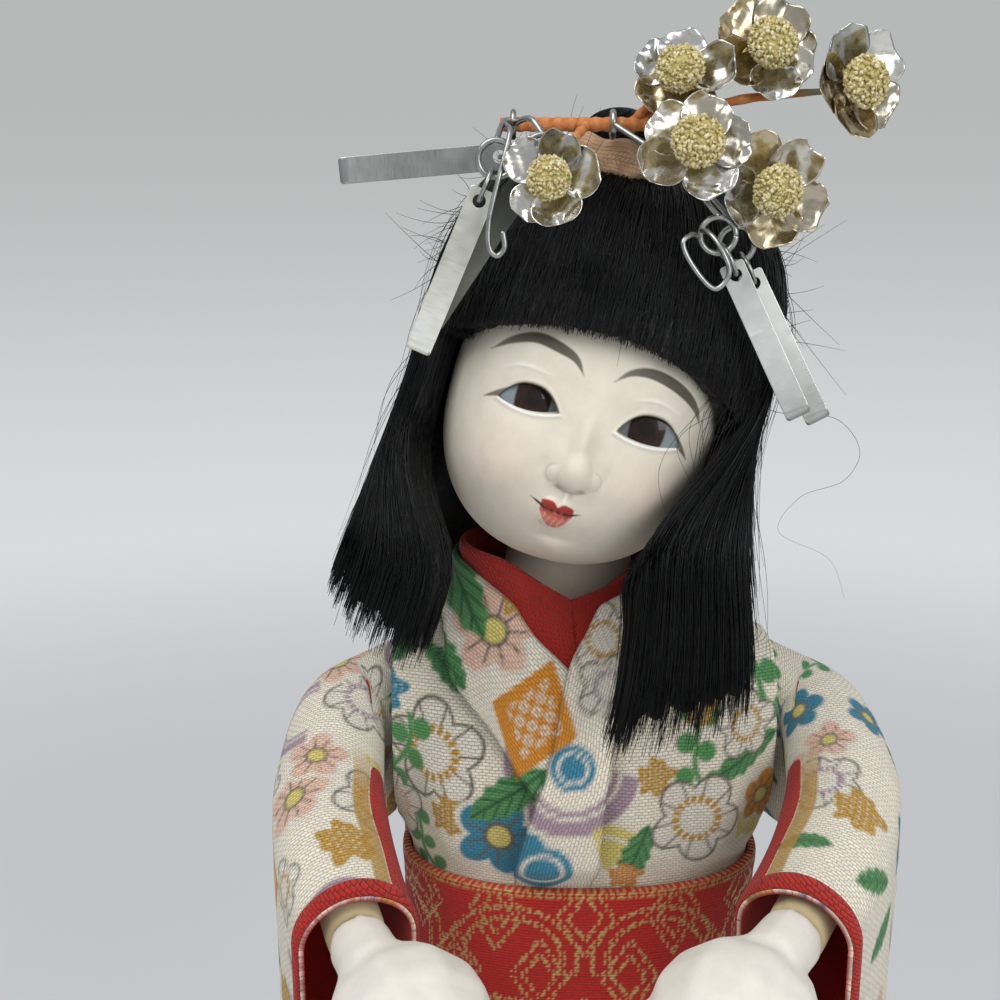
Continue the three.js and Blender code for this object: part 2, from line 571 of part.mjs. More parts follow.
function armLoops(arm) {
  return armStations(arm).map(({ centre, inner }) => {
    return Array.from({ length: ROD_SIDES }, (_, i) => {
      const angle = (2 * Math.PI * i) / ROD_SIDES;
      const offset = inner.clone().multiplyScalar(ARM_RADIUS * Math.cos(angle));
      return mirrored(arm.side, centre.clone().add(offset).add(point(0, 0, ARM_RADIUS * Math.sin(angle))));
    });
  });
}
// A loosely closed fist: back of the hand, four curled fingers, a thumb and a wrist stub.
function fist(arm, hand) {
  const last = armStations(arm).at(-1);
  const wrist = mirrored(arm.side, last.centre);
  const ahead = mirrored(arm.side, point(-last.inner.y, last.inner.x, 0));
  const across = mirrored(arm.side, last.inner);
  const cut = wrist.clone().addScaledVector(ahead, GAP);
  const stub = rod(cut, wrist.clone().addScaledVector(ahead, 10), WRIST_RADIUS);
  const middle = mirrored(arm.side, point(hand[0], hand[1], ARM_Z + hand[2]));
  const frame = new THREE.Matrix4().makeBasis(across, ahead, Z_AXIS).setPosition(middle);
  if (frame.determinant() < 0) {
    frame.makeBasis(across.clone().negate(), ahead, Z_AXIS).setPosition(middle);
  }
  const inward = Math.sign(frame.elements[0] * across.x + frame.elements[1] * across.y);
  const r = HAND_RADIUS;
  const parts = [ball([0.98 * r, 1.08 * r, 0.96 * r], [0, -1, 1])];
  for (const k of [-1.5, -0.5, 0.5, 1.5]) {
    const knuckle = [k * 0.48 * r, 0.66 * r, -0.5 * r - Math.abs(k)];
    parts.push(ball([0.3 * r, 0.52 * r, 0.42 * r], knuckle, 6, 5));
  }
  parts.push(ball([0.32 * r, 0.66 * r, 0.34 * r], [inward * 0.84 * r, 0.3 * r, -0.1 * r], 6, 5));
  const heel = wrist.clone().addScaledVector(ahead, 9);
  const palm = rod(heel, middle, WRIST_RADIUS);
  return union(...parts.map((part) => part.applyMatrix4(frame)), stub, palm);
}
for (const [arm, hand, name] of [[ARM_LEFT, HAND_LEFT, "left"], [ARM_RIGHT, HAND_RIGHT, "right"]]) {
  add(doll, `sleeve_${name}`, slab(sleeveGrid(arm, 0), sleeveGrid(arm, CLOTH), true), "#e8e2d0", 0.9);
  add(doll, `arm_${name}`, without(loft(armLoops(arm)), wireHole), "#d9cdb0", 0.95);
  add(doll, `hand_${name}`, fist(arm, hand), "#f3eee4", 0.55);
}

// Head: an egg with a moulded face, and a neck that stays upright.
// Soft bumps of the face: x, z, spreads in x and z, height.
const head = new THREE.Group();
head.position.set(NECK_SHIFT + 1.6, HEAD_BACK, EYE_Z);
head.rotation.set(HEAD_NOD, HEAD_TILT, 0);
head.updateMatrixWorld(true);
doll.add(head);
const FACE_BUMPS = [
  [0, -4.5, 2, 4.2, 1.5],
  [0, -8.3, 2.5, 2, 2.6],
  [2.7, -9.6, 1.4, 1.4, 1.2],
  [EYE_SPREAD, 0.6, 5, 2.8, -0.8],
  [11.5, -10.5, 6, 5.5, 1.3],
  [0, -15.5, 4.6, 3.2, 1.3],
  [1.3, -14.4, 1.4, 1, 0.8],
  [0, -16.9, 2, 1.1, 0.9],
  [0, -20.2, 3.6, 2.4, 1.2],
];
function egg(direction, grow) {
  const depth = direction.y < 0 ? FACE_HALF_DEPTH : SKULL_HALF_DEPTH;
  const height = direction.z > 0 ? SKULL_TOP : CHIN_DROP;
  const sum = Math.abs(direction.x / (HEAD_HALF_WIDTH + grow)) ** HEAD_FULLNESS
    + Math.abs(direction.y / (depth + grow)) ** HEAD_FULLNESS
    + Math.abs(direction.z / (height + grow)) ** HEAD_FULLNESS;
  return direction.clone().multiplyScalar(sum ** (-1 / HEAD_FULLNESS));
}
function faceRelief(x, z) {
  return FACE_BUMPS.reduce((total, [bx, bz, sx, sz, rise]) => {
    const one = (side) => Math.exp(-(((x - side * bx) / sx) ** 2) - ((z - bz) / sz) ** 2);
    return total + rise * (bx === 0 ? one(1) : one(1) + one(-1));
  }, 0);
}
function headPoint(turn, polar) {
  const across = Math.sin(polar);
  const p = egg(point(across * Math.sin(turn), -across * Math.cos(turn), Math.cos(polar)), 0);
  p.y -= faceRelief(p.x, p.z) * ease(0, 0.5 * FACE_HALF_DEPTH, -p.y);
  return p;
}
const turns = Array.from({ length: FACE_COLUMNS }, (_, i) => {
  const s = (2 * i) / FACE_COLUMNS - 1;
  return Math.PI * (0.4 * s + 0.6 * s ** 3);
});
const BROW_POLAR = 1.05;
const CHIN_POLAR = 2.7;
const skullPolars = steps(3).map((t) => mix(0.14, BROW_POLAR, t));
const facePolars = steps(FACE_ROWS).slice(1).map((t) => mix(BROW_POLAR, CHIN_POLAR, t));
const polars = [...skullPolars, ...facePolars, 2.86, 3.0];
const skull = loft(polars.map((polar) => turns.map((turn) => headPoint(turn, polar))));
const NECK_BOTTOM = TORSO_TOP + GAP;
const neckLoop = (z, radius) => Array.from({ length: ROD_SIDES }, (_, i) => {
  const angle = (2 * Math.PI * i) / ROD_SIDES;
  const world = neckAxis(z).add(point(radius * Math.cos(angle), radius * Math.sin(angle), 0));
  return head.worldToLocal(world);
});
const neck = loft([
  neckLoop(NECK_BOTTOM, NECK_RADIUS + 0.6),
  neckLoop(NECK_Z, NECK_RADIUS),
  neckLoop(EYE_Z - CHIN_DROP + 2, NECK_RADIUS),
  neckLoop(EYE_Z - CHIN_DROP + 10, NECK_RADIUS - 1),
]);
const inHead = (geometry) => geometry.applyMatrix4(head.matrixWorld.clone().invert());
const pegHole = inHead(rod(neckAxis(NECK_BOTTOM - 1), neckAxis(NECK_BOTTOM + PEG_INSERT), PEG_RADIUS + GAP));

// Eyes: almond sockets cut into the face, each holding a glass eye of the same outline.
function almond(side, inset) {
  const half = EYE_WIDTH / 2 - inset;
  const rise = EYE_RISE - inset;
  const fall = EYE_FALL - inset;
  const shape = new THREE.Shape();
  shape.moveTo(-half, 0);
  shape.quadraticCurveTo(0, 2 * rise, half, 0);
  shape.quadraticCurveTo(0, -2 * fall, -half, 0);
  return { shape, x: side * EYE_SPREAD };
}
const faceAtEye = headPoint(Math.asin(EYE_SPREAD / FACE_HALF_DEPTH), Math.PI / 2).y;
function eyePrism(side, inset) {
  const { shape, x } = almond(side, inset);
  const prism = new THREE.ExtrudeGeometry(shape, { depth: 30, curveSegments: 5, bevelEnabled: false });
  return prism.rotateX(Math.PI / 2).translate(x, faceAtEye + SOCKET_DEPTH - inset, 0);
}
function glassEye(side) {
  const centreY = faceAtEye + EYE_INSET + EYEBALL_RADIUS;
  const radii = [EYEBALL_RADIUS, EYEBALL_RADIUS, EYEBALL_RADIUS];
  const eyeball = ball(radii, [side * EYE_SPREAD, centreY, 0], 20, 14);
  return toGeometry(toSolid(eyeball).intersect(toSolid(eyePrism(side, GAP))));
}
const headBlank = union(skull, neck);
add(head, "head_shell", without(headBlank, pegHole, eyePrism(1, 0), eyePrism(-1, 0)), "#f1e6d8", 0.6);
add(head, "eye_left", glassEye(1), "#1d120c", 0.05);
add(head, "eye_right", glassEye(-1), "#1d120c", 0.05);
const pegTop = neckAxis(NECK_BOTTOM + PEG_INSERT - GAP);
add(doll, "neck_peg", rod(neckAxis(TORSO_TOP - PEG_INSERT + GAP), pegTop, PEG_RADIUS), "#b9935e", 0.7);

// Hair: a crown dome, and cut lengths that start where the crown ends.
const hairDepth = (angle) => (Math.cos(angle) > 0 ? HAIR_FRONT : HAIR_BACK);
const domeScale = (z, top) => Math.sqrt(Math.max(0, 1 - (z / top) ** 2));
function crownDome(grow) {
  const top = HAIR_TOP + grow;
  const loops = steps(7).slice(1).map((t) => {
    const z = PARTING + (top - PARTING) * Math.cos(t * Math.PI / 2);
    return Array.from({ length: CROWN_SIDES }, (_, i) => {
      const angle = (2 * Math.PI * i) / CROWN_SIDES;
      const x = (HAIR_HALF_WIDTH + grow) * domeScale(z, top) * Math.sin(angle);
      return point(x, -(hairDepth(angle) + grow) * domeScale(z, top) * Math.cos(angle), z);
    });
  });
  return loft(loops);
}
const skullCutter = loft(polars.map((polar) => turns.map((turn) => {
  const across = Math.sin(polar);
  return egg(point(across * Math.sin(turn), -across * Math.cos(turn), Math.cos(polar)), 2 * GAP);
})));
add(head, "hair_crown", without(crownDome(0), skullCutter), "#0c0908", 0.45);

// The lengths are sheets between the head and the outer hair.
// Angles run from straight ahead to the doll's left.
const radians = THREE.MathUtils.degToRad;
const outerHair = (angle, z) => {
  const dome = z > 0 ? domeScale(z, HAIR_TOP) : 1;
  const down = ease(-5, 45, -z);
  const sideways = Math.sin(angle) > 0 ? LOCK_FLARE_LEFT : LOCK_FLARE;
  const width = HAIR_HALF_WIDTH * dome + sideways * down;
  return point(width * Math.sin(angle), -(hairDepth(angle) * dome + LOCK_FLARE * down) * Math.cos(angle), z);
};
const innerHair = (angle, z) => {
  const direction = point(Math.sin(angle), -Math.cos(angle), 0);
  const reach = egg(direction, 3 * GAP).length();
  const top = SKULL_TOP + 3 * GAP;
  const height = (1 - Math.abs(Math.max(z, 0) / top) ** HEAD_FULLNESS) ** (1 / HEAD_FULLNESS);
  const low = Math.max(HAIR_INNER, reach);
  const near = z > 0 ? mix(low, reach, ease(0, 6, z)) * height : low;
  const beside = direction.clone().multiplyScalar(near).setZ(z);
  const hanging = outerHair(angle, z).addScaledVector(direction, -LOCK_THICK);
  return beside.lerp(hanging, ease(12, 30, -z));
};
// Height in the head's frame of a level cut above the floor, at a place beside the head.
const levelCut = (height, p) => (height - EYE_Z + p.x * Math.sin(HEAD_TILT)) / Math.cos(HEAD_TILT);
// The front edges draw in towards the face further down.
// There both faces of the sheet share their angles.
function lengths(outerAngles, innerAngles, hemAt, rows, cols, draw = 0) {
  const grid = (surface, angles, lift) => steps(rows).map((v) => steps(cols).map((u) => {
    const outerAngle = mix(outerAngles[0], outerAngles[1], u);
    const z = mix(PARTING - GAP, hemAt(outerAngle) + lift, v);
    const beside = Math.max(0, 1 - Math.abs(Math.abs(outerAngle) - TEMPLE) / TEMPLE);
    const drawn = Math.sign(outerAngle) * draw * beside * ease(0, 24, -z);
    return surface(mix(mix(angles[0], angles[1], u), outerAngle, ease(6, 24, -z)) - drawn, z);
  }));
  return slab(grid(outerHair, outerAngles, 0), grid(innerHair, innerAngles, 0.8));
}
const TEMPLE = radians(46);
const TEMPLE_INNER = radians(68);
const NAPE_EDGE = radians(112);
const SEAM = radians(0.8);
const DRAW_LEFT = radians(16);
const DRAW_RIGHT = radians(17);
const fringeHem = (angle) => mix(FRINGE_MIDDLE, FRINGE_END, (angle / TEMPLE) ** 2);
const hemLevel = (height) => (angle) => levelCut(height, outerHair(angle, LOCK_HEM_RIGHT - 1));
const lockHemLeft = (angle) => {
  const front = hemLevel(EYE_Z - LOCK_DROP_LEFT)(angle);
  const side = hemLevel(NECK_Z + COLLAR_STAND + 6)(angle);
  return mix(front, side, ease(radians(66), radians(84), angle));
};
const backHem = (angle) => {
  const low = hemLevel(EYE_Z - BACK_DROP)(angle);
  const high = hemLevel(NECK_Z + COLLAR_STAND + 6)(angle);
  const side = hemLevel(NECK_Z + COLLAR_STAND)(angle);
  const right = mix(low, side, ease(radians(205), radians(235), angle));
  return mix(high, right, ease(radians(140), radians(172), angle));
};
const fringeEdge = TEMPLE - SEAM;
const fringeEdges = [-fringeEdge, fringeEdge];
add(head, "hair_fringe", lengths(fringeEdges, fringeEdges, fringeHem, 3, 8), "#0c0908", 0.45);
const leftEdges = [TEMPLE, NAPE_EDGE - SEAM];
const leftLock = lengths(leftEdges, [TEMPLE_INNER, NAPE_EDGE - SEAM], lockHemLeft, 6, 6, DRAW_LEFT);
add(head, "hair_lock_left", leftLock, "#0c0908", 0.45);
const rightEdges = [SEAM - NAPE_EDGE, -TEMPLE];
const lockHemRight = (angle) => LOCK_HEM_RIGHT + LOCK_SLANT * ease(TEMPLE, NAPE_EDGE, -angle);
const rightLock = lengths(rightEdges, [SEAM - NAPE_EDGE, -TEMPLE_INNER], lockHemRight, 6, 6, DRAW_RIGHT);
add(head, "hair_lock_right", rightLock, "#0c0908", 0.45);
const backEdges = [NAPE_EDGE, 2 * Math.PI - NAPE_EDGE];
add(head, "hair_back", lengths(backEdges, backEdges, backHem, 6, 10), "#0c0908", 0.45);

// Topknot on the crown, with a band of crinkled cloth round it.
const knotFoot = HAIR_TOP * domeScale(KNOT_SIDE, HAIR_HALF_WIDTH) - 5;
const crownCutter = crownDome(2 * GAP);
const knotProfile = [[0, 0], [KNOT_RADIUS, 0], [KNOT_RADIUS, 0.45 * KNOT_HEIGHT + KNOT_SEAT],
  [0.86 * KNOT_RADIUS, 0.75 * KNOT_HEIGHT + KNOT_SEAT], [0.5 * KNOT_RADIUS, 0.95 * KNOT_HEIGHT + KNOT_SEAT],
  [0, KNOT_HEIGHT + KNOT_SEAT]];
const turned = (profile, sides) => {
  const outline = profile.map(([r, z]) => new THREE.Vector2(r, z));
  return new THREE.LatheGeometry(outline, sides).rotateX(Math.PI / 2).translate(KNOT_SIDE, 0, knotFoot);
};
const clothInner = KNOT_RADIUS + GAP;
const clothOuter = clothInner + KNOT_CLOTH_WALL;
const knotMiddle = head.localToWorld(point(KNOT_SIDE, 0, knotFoot + 0.5 * KNOT_HEIGHT));
const barY = knotMiddle.y - clothOuter - GAP - BAR_RADIUS;
const onBar = (x) => point(x, barY, BAR_Z);
const prongTip = onBar(PRONG_X).add(point(0, PRONG_REACH, -1));
const prong = (radius) => rod(onBar(PRONG_X), prongTip, radius, WIRE_SIDES);
const prongHole = inHead(prong(PRONG_RADIUS + GAP));
add(head, "topknot", without(turned(knotProfile, 14), crownCutter, prongHole), "#0c0908", 0.45);
const clothShape = [[0, 0.1], [8 / 11, 0.1], [1, 0.3], [1, 0.6], [7 / 11, 0.8], [0, 0.8], [0, 0.1]];
const clothProfile = clothShape.map(([r, z]) => [clothInner + r * KNOT_CLOTH_WALL, z * KNOT_HEIGHT]);
add(head, "knot_cloth", without(turned(clothProfile, 14), crownCutter), "#e2a382", 0.9);

// Hair ornament: a paper-bound bar in front of the knot, stems, foil flowers and hanging strips.
const ornament = new THREE.Group();
doll.add(ornament);
// Flowers: middle of the face, the way it looks and its size against the full one.
const FLOWERS = [
  [[13, -15, 51.6], [-0.2, -1, 0.35], 0.95],
  [[26, -12, 55.6], [0.1, -1, 0.3], 1],
  [[38, -15, 50.6], [0.5, -1, 0.1], 1],
  [[14, -24.5, 41.1], [0, -1, 0.25], 1],
  [[25, -21.5, 35.6], [0.3, -1, -0.1], 1],
  [[-7, -31.5, 36.6], [-0.1, -1, 0.1], 0.8],
];
const flowerFrame = ([middle, look, size]) => {
  const facing = new THREE.Quaternion().setFromUnitVectors(Z_AXIS, point(...look).normalize());
  return { middle: point(...middle).add(point(0, 0, EYE_Z)), facing, look: point(...look).normalize(), size };
};
// A foil flower in its own frame: cupped round petals on a small hub, looking along +Z.
function petal(turn) {
  const grid = (lift) => steps(PETAL_ROWS).map((v) => steps(2).map((u) => {
    const along = mix(0.9, PETAL_LENGTH, v);
    const round = Math.sqrt(Math.max(0.08, 1 - (2 * v - 1.12) ** 2));
    const across = (PETAL_WIDTH / 2) * round * (2 * u - 1);
    const cup = PETAL_CUP * (v ** 2 + 0.5 * (2 * u - 1) ** 2 * round);
    return point(along, across, cup + lift + 0.1);
  }));
  return slab(grid(FOIL), grid(0)).rotateZ(turn);
}
function petalWheel() {
  const petals = Array.from({ length: PETALS }, (_, i) => petal((2 * Math.PI * i) / PETALS));
  const hub = rod(point(0, 0, -HUB_HEIGHT), point(0, 0, FOIL), HUB_RADIUS, PETALS);
  return union(hub, ...petals);
}
const centreProfile = [[0, 0], [0.85 * CENTRE_RADIUS, 0], [CENTRE_RADIUS, 0.3 * CENTRE_HEIGHT],
  [0.8 * CENTRE_RADIUS, 0.75 * CENTRE_HEIGHT], [0.4 * CENTRE_RADIUS, CENTRE_HEIGHT], [0, CENTRE_HEIGHT]];
const centreLift = FOIL + 0.5 * PETAL_CUP + GAP + 0.3;
const stemEnds = [];
FLOWERS.map(flowerFrame).forEach(({ middle, facing, look, size }, i) => {
  const flower = new THREE.Group();
  flower.position.copy(middle);
  flower.quaternion.copy(facing);
  ornament.add(flower);
  add(flower, `flower_${i + 1}_petals`, petalWheel().scale(size, size, size), "#c9ccd0", 0.25, 1);
  const outline = centreProfile.map(([r, z]) => new THREE.Vector2(r, z));
  const centre = new THREE.LatheGeometry(outline, ROD_SIDES).rotateX(Math.PI / 2).translate(0, 0, centreLift);
  add(flower, `flower_${i + 1}_centre`, centre.scale(size, size, size), "#e0b23a", 0.9);
  stemEnds.push({ tip: middle.clone().addScaledVector(look, -HUB_HEIGHT * size - GAP), look });
});
const STEM_ROOTS = [5.5, 6.5, 8, 9, 9.5, -1]; // where each stem leaves the bar
const stems = stemEnds.map(({ tip, look }, i) => {
  const root = onBar(STEM_ROOTS[i]);
  const behind = tip.clone().addScaledVector(look, -2.5);
  const bend = root.clone().lerp(behind, 0.5).add(point(0, -1.5, 1));
  return wire([root, bend, behind, tip], STEM_RADIUS, 5);
});
const bar = rod(onBar(BAR_LEFT), onBar(BAR_RIGHT), BAR_RADIUS);
add(ornament, "stem_bundle", union(bar, prong(PRONG_RADIUS), ...stems), "#d2552a", 0.85);

// Hangers: a wire clasp round the bar, bent down to eyelets that lie square to Y.
const aboveEyes = (x, y, z) => point(x, y, EYE_Z + z);
const EYELET_A = aboveEyes(-7.8, -23.5, 40.6);
const EYELET_B = aboveEyes(-14.5, -28.5, 39.6);
const EYELET_D = aboveEyes(17.7, -25, 28.9);
const EYELET_E = aboveEyes(21, -21.4, 27.5);
const torus = (radius, thickness) => new THREE.TorusGeometry(radius, thickness, WIRE_SIDES - 1, RING_STEPS);
const eyeletRing = torus(EYELET_RADIUS, HANGER_WIRE).rotateX(Math.PI / 2);
const eyelet = (centre) => eyeletRing.clone().translate(...centre.toArray());
const claspRadius = BAR_RADIUS + GAP + HANGER_WIRE;
const clasp = (x) => torus(claspRadius, HANGER_WIRE).rotateY(Math.PI / 2).translate(...onBar(x).toArray());
const hangerArm = (x, centre) => {
  const root = onBar(x).add(point(0, -claspRadius, 0));
  const end = centre.clone().add(point(0, 0, EYELET_RADIUS));
  const bend = root.clone().lerp(end, 0.6).add(point(0, -HANGER_WIRE - 0.55, HANGER_BEND));
  return wire([root, bend, end], HANGER_WIRE, 5);
};
const CLASP_LEFT = -12;
const CLASP_RIGHT = 3;
const hanger = (x, eyelets) => union(clasp(x), ...eyelets.flatMap((c) => [hangerArm(x, c), eyelet(c)]));
add(ornament, "hanger_left", hanger(CLASP_LEFT, [EYELET_A, EYELET_B]), "#9a9a98", 0.35, 1);
add(ornament, "hanger_right", hanger(CLASP_RIGHT, [EYELET_D, EYELET_E]), "#9a9a98", 0.35, 1);

// Strips: each hangs from a ring that links its hole to an eyelet, along a direction in the XZ plane.
const STRIPS = [
  ["a", EYELET_A, 185],
  ["b", EYELET_B, 247],
  ["c", EYELET_A, 236],
  ["d", EYELET_D, 296],
  ["e", EYELET_E, 297],
];
const ringOffset = EYELET_RADIUS - HANGER_WIRE - RING_WIRE - GAP + RING_RADIUS;
for (const [letter, centre, degrees] of STRIPS) {
  const along = point(Math.cos(radians(degrees)), 0, Math.sin(radians(degrees)));
  const ringCentre = centre.clone().addScaledVector(along, ringOffset);
  const ring = torus(RING_RADIUS, RING_WIRE).rotateY(-radians(degrees));
  add(ornament, `ring_${letter}`, ring.translate(...ringCentre.toArray()), "#b4b4b2", 0.3, 1);
  const hole = ringCentre.clone().addScaledVector(along, RING_RADIUS);
  const outline = new THREE.Shape();
  const half = STRIP_WIDTH / 2;
  const corner = 0.8;
  outline.moveTo(-STRIP_EDGE + corner, -half);
  outline.lineTo(STRIP_LENGTH - STRIP_EDGE - corner, -half);
  outline.quadraticCurveTo(STRIP_LENGTH - STRIP_EDGE, -half, STRIP_LENGTH - STRIP_EDGE, corner - half);
  outline.lineTo(STRIP_LENGTH - STRIP_EDGE, half - corner);
  outline.quadraticCurveTo(STRIP_LENGTH - STRIP_EDGE, half, STRIP_LENGTH - STRIP_EDGE - corner, half);
  outline.lineTo(-STRIP_EDGE + corner, half);
  outline.quadraticCurveTo(-STRIP_EDGE, half, -STRIP_EDGE, half - corner);
  outline.lineTo(-STRIP_EDGE, corner - half);
  outline.quadraticCurveTo(-STRIP_EDGE, -half, -STRIP_EDGE + corner, -half);
  outline.holes.push(new THREE.Path().absarc(0, 0, STRIP_HOLE, 0, 2 * Math.PI));
  const strip = new THREE.ExtrudeGeometry(outline, { depth: FOIL, curveSegments: 2, bevelEnabled: false });
  strip.translate(0, 0, -FOIL / 2).rotateX(Math.PI / 2).rotateY(-radians(degrees));
  strip.translate(...hole.toArray());
  add(ornament, `strip_${letter}`, strip, "#c4c6c8", 0.3, 1);
}

export default doll;
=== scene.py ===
"""Studio scene of a girl doll in a printed kimono: dresses the CAD parts and sets the stage."""
import json
import math

import bpy
import bmesh
import numpy as np
from mathutils import Matrix, Vector


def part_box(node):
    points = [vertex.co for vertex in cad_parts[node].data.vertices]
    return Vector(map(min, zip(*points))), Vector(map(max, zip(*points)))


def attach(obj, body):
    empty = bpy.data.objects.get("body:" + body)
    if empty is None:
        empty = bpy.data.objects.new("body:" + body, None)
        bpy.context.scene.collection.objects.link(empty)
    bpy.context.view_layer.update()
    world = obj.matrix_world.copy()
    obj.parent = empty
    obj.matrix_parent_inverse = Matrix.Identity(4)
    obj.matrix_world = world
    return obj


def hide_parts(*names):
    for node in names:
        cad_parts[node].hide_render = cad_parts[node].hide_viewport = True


bl_info = {
    "name": "Kimono doll",
    "version": (1, 0, 0),
    "blender": (4, 5, 0),
    "location": "View3D > Sidebar > Doll",
    "description": "Cloth, hair, face and hair ornament of a girl doll, with a studio",
    "category": "Object",
}

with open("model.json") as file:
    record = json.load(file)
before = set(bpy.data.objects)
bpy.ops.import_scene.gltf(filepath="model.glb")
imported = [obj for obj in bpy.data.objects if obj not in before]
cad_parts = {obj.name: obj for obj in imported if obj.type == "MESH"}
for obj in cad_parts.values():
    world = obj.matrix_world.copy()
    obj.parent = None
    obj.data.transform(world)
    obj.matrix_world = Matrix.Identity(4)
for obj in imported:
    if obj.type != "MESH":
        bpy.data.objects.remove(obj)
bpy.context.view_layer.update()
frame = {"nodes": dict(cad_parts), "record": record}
MM = 0.001
BODY_OF = {node: body for body, nodes in frame["record"]["behaviour"]["bodies"].items() for node in nodes}


def node_box(node):
    """Lowest and highest corner of a CAD node in millimetres."""
    low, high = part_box(node)
    return np.array(low) / MM, np.array(high) / MM


# Heights and half sizes of the dressed body, in millimetres
BOARD_LOW, BOARD_HIGH = node_box("base_board")
HEM_Z = node_box("kimono_skirt")[0][2]
OBI_Z = node_box("obi_band")[0][2]
OBI_TOP = node_box("obi_band")[1][2]
NECK_Z = node_box("kimono_bodice")[1][2]
OBI_HEIGHT = OBI_TOP - OBI_Z
CHEST_HEIGHT = NECK_Z - OBI_TOP
GAP = 0.3
CLOTH = 1.2
OBI_WALL = 1.6
COLLAR_STAND = 8
HEM_HALF = (33, 26)
WAIST_HALF = (28.6, 19.6)
CHEST_HALF = (34, 21.5)
SHOULDER_HALF = (38, 16.5)
NECKLINE_HALF = (17, 13)
NECK_SHIFT = -2.5
NECK_BACK = -2
ROUNDNESS = 2.3
SEAM_X = 32
WRAP_ANGLE = 0.42
WRAP_STEP = 1.3
THREAD_STEP = 0.54
BODICE_COLUMNS = 561
TUCKED_ROWS = 24
SKIRT_COLUMNS = 330
SKIRT_ROWS_UP = 145
LINING_SHARE = 1 / 6
OBI_COLUMNS = 520
BOW_HEIGHT = 28

# Arms, with heights below the arm's axis
ARM_Z = NECK_Z - 17
ARM_RADIUS = 4.8
SLEEVE_EASE = 1.1
SLEEVE_HALF_TOP = 7.2
SLEEVE_HALF = 9
SLEEVE_SPREAD = 4
SLEEVE_OVER = 0.25
SLEEVE_DROPS = (24, 27, 33, 43, 50)
SLEEVE_ROWS = 170
SLEEVE_COLUMNS = 240
MOUTH_ROWS = 9
BAND_END = 15
STRIPE_END = 22
STRIPE_START_ROW = 80
ARMS = {
    "left": (1, ((40, -4, -4), (42, -17, -11), (37.5, -32, -18), (29, -45, -24))),
    "right": (-1, ((40, -4, -4), (42, -16, -12), (40, -30, -19), (35, -43, -26))),
}

# Head and hair in the head's own frame: origin between the ears at eye height, face towards -Y
EYE_Z = NECK_Z + 30.4
HEAD_PLACE = np.array((NECK_SHIFT + 1.6, -6, EYE_Z))
HEAD_TILT = math.radians(15)
HEAD_NOD = math.radians(-5)
HEAD_TURN = np.array(Matrix.Rotation(HEAD_NOD, 3, "X") @ Matrix.Rotation(HEAD_TILT, 3, "Y"))
HEAD_HALF_WIDTH = 21.8
FACE_HALF_DEPTH = 22.2
SKULL_HALF_DEPTH = 23.5
SKULL_TOP = 29
CHIN_DROP = 24.4
HEAD_FULLNESS = 2.25
NECK_RADIUS = 8.6
NECK_FLARE = 3
SOCKET_DEPTH = 4.6
HAIR_HALF_WIDTH = 28.6
HAIR_FRONT = 25.5
HAIR_BACK = 29.5
HAIR_TOP = 40
PARTING = 20
FRINGE_MIDDLE = 12.4
FRINGE_ENDS = (7, 3.5)
CROWN_FULLNESS = 3.6
LOCK_FLARE = 4.5
LOCK_FLARE_LEFT = 14
LOCK_THICK = 5
HAIR_INNER = 21.6
LOCK_DROP_LEFT = 46.9
LOCK_HEM_RIGHT = -39
LOCK_SLANT = 7
LOCK_SLANT_LEFT = 4
BACK_DROP = 31.4
SIDE_RISE = 5
TEMPLE = math.radians(62)
TEMPLE_INNER = math.radians(76)
NAPE_EDGE = math.radians(112)
LOCK_TURN_LEFT = (math.radians(82), math.radians(95))
DRAW_LEFT = (math.radians(40), -14, 17)
DRAW_RIGHT = (math.radians(33), 6, 30)
DRAW_NONE = (0, 0, 1)
BACK_RISE = 2.5
BACK_LEFT_TURN = (math.radians(154), math.radians(186))
BACK_RIGHT_TURN = (math.radians(205), math.radians(235))
TUFTS = 46
SHELL_COLUMNS = 70
PRESSED = 1.6
PRESSED_PLACE = (math.radians(41), 23)
PRESSED_SPREAD = (0.32, 9)
STRIP_ROOM = 3.5
KNOT_RADIUS = 7.5
KNOT_HEIGHT = 10
KNOT_SIDE = -4.5
KNOT_STRANDS = 300
KNOT_FOOT = HAIR_TOP * math.sqrt(1 - (KNOT_SIDE / HAIR_HALF_WIDTH) ** 2) - 5

# Hair ornament, with heights above the eyes
BAR_Z = EYE_Z + 45.1
BAR_ENDS = (-14, 10)
BAR_RADIUS = 1.1
STEM_RADIUS = 0.5
STEM_ROOTS = (5.5, 6.5, 8, 9, 9.5, -1)
PRONG_X = 6.2
FLOWERS = (
    ((13, -15, 51.6), (-0.2, -1, 0.35), 0.95),
    ((26, -12, 55.6), (0.1, -1, 0.3), 1),
    ((38, -15, 50.6), (0.5, -1, 0.1), 1),
    ((14, -24.5, 41.1), (0, -1, 0.25), 1),
    ((25, -21.5, 35.6), (0.3, -1, -0.1), 1),
    ((-7, -31.5, 36.6), (-0.1, -1, 0.1), 0.8),
)
EYELETS = {"a": (-7.8, -23.5, 40.6), "b": (-14.5, -28.5, 39.6), "d": (17.7, -25, 28.9),
           "e": (21, -21.4, 27.5)}
STRIPS = {"a": ("a", 185), "b": ("b", 247), "c": ("a", 236), "d": ("d", 296), "e": ("e", 297)}
EYELET_RADIUS = 2.6
HANGER_WIRE = 0.45
RING_RADIUS = 2.4
RING_WIRE = 0.34
STRIP_LENGTH = 25
STRIP_WIDTH = 3.8
STRIP_EDGE = 1.8
STRIP_HOLE = 0.95
STRIP_CORNER = 0.45
STRIP_BEND = 0.0008
FOIL = 0.45
PETALS = 5
GRIT_RADIUS = 3.7
GRIT_HEIGHT = 4.4
GRIT_LIFT = 1.8
GRAINS = 620
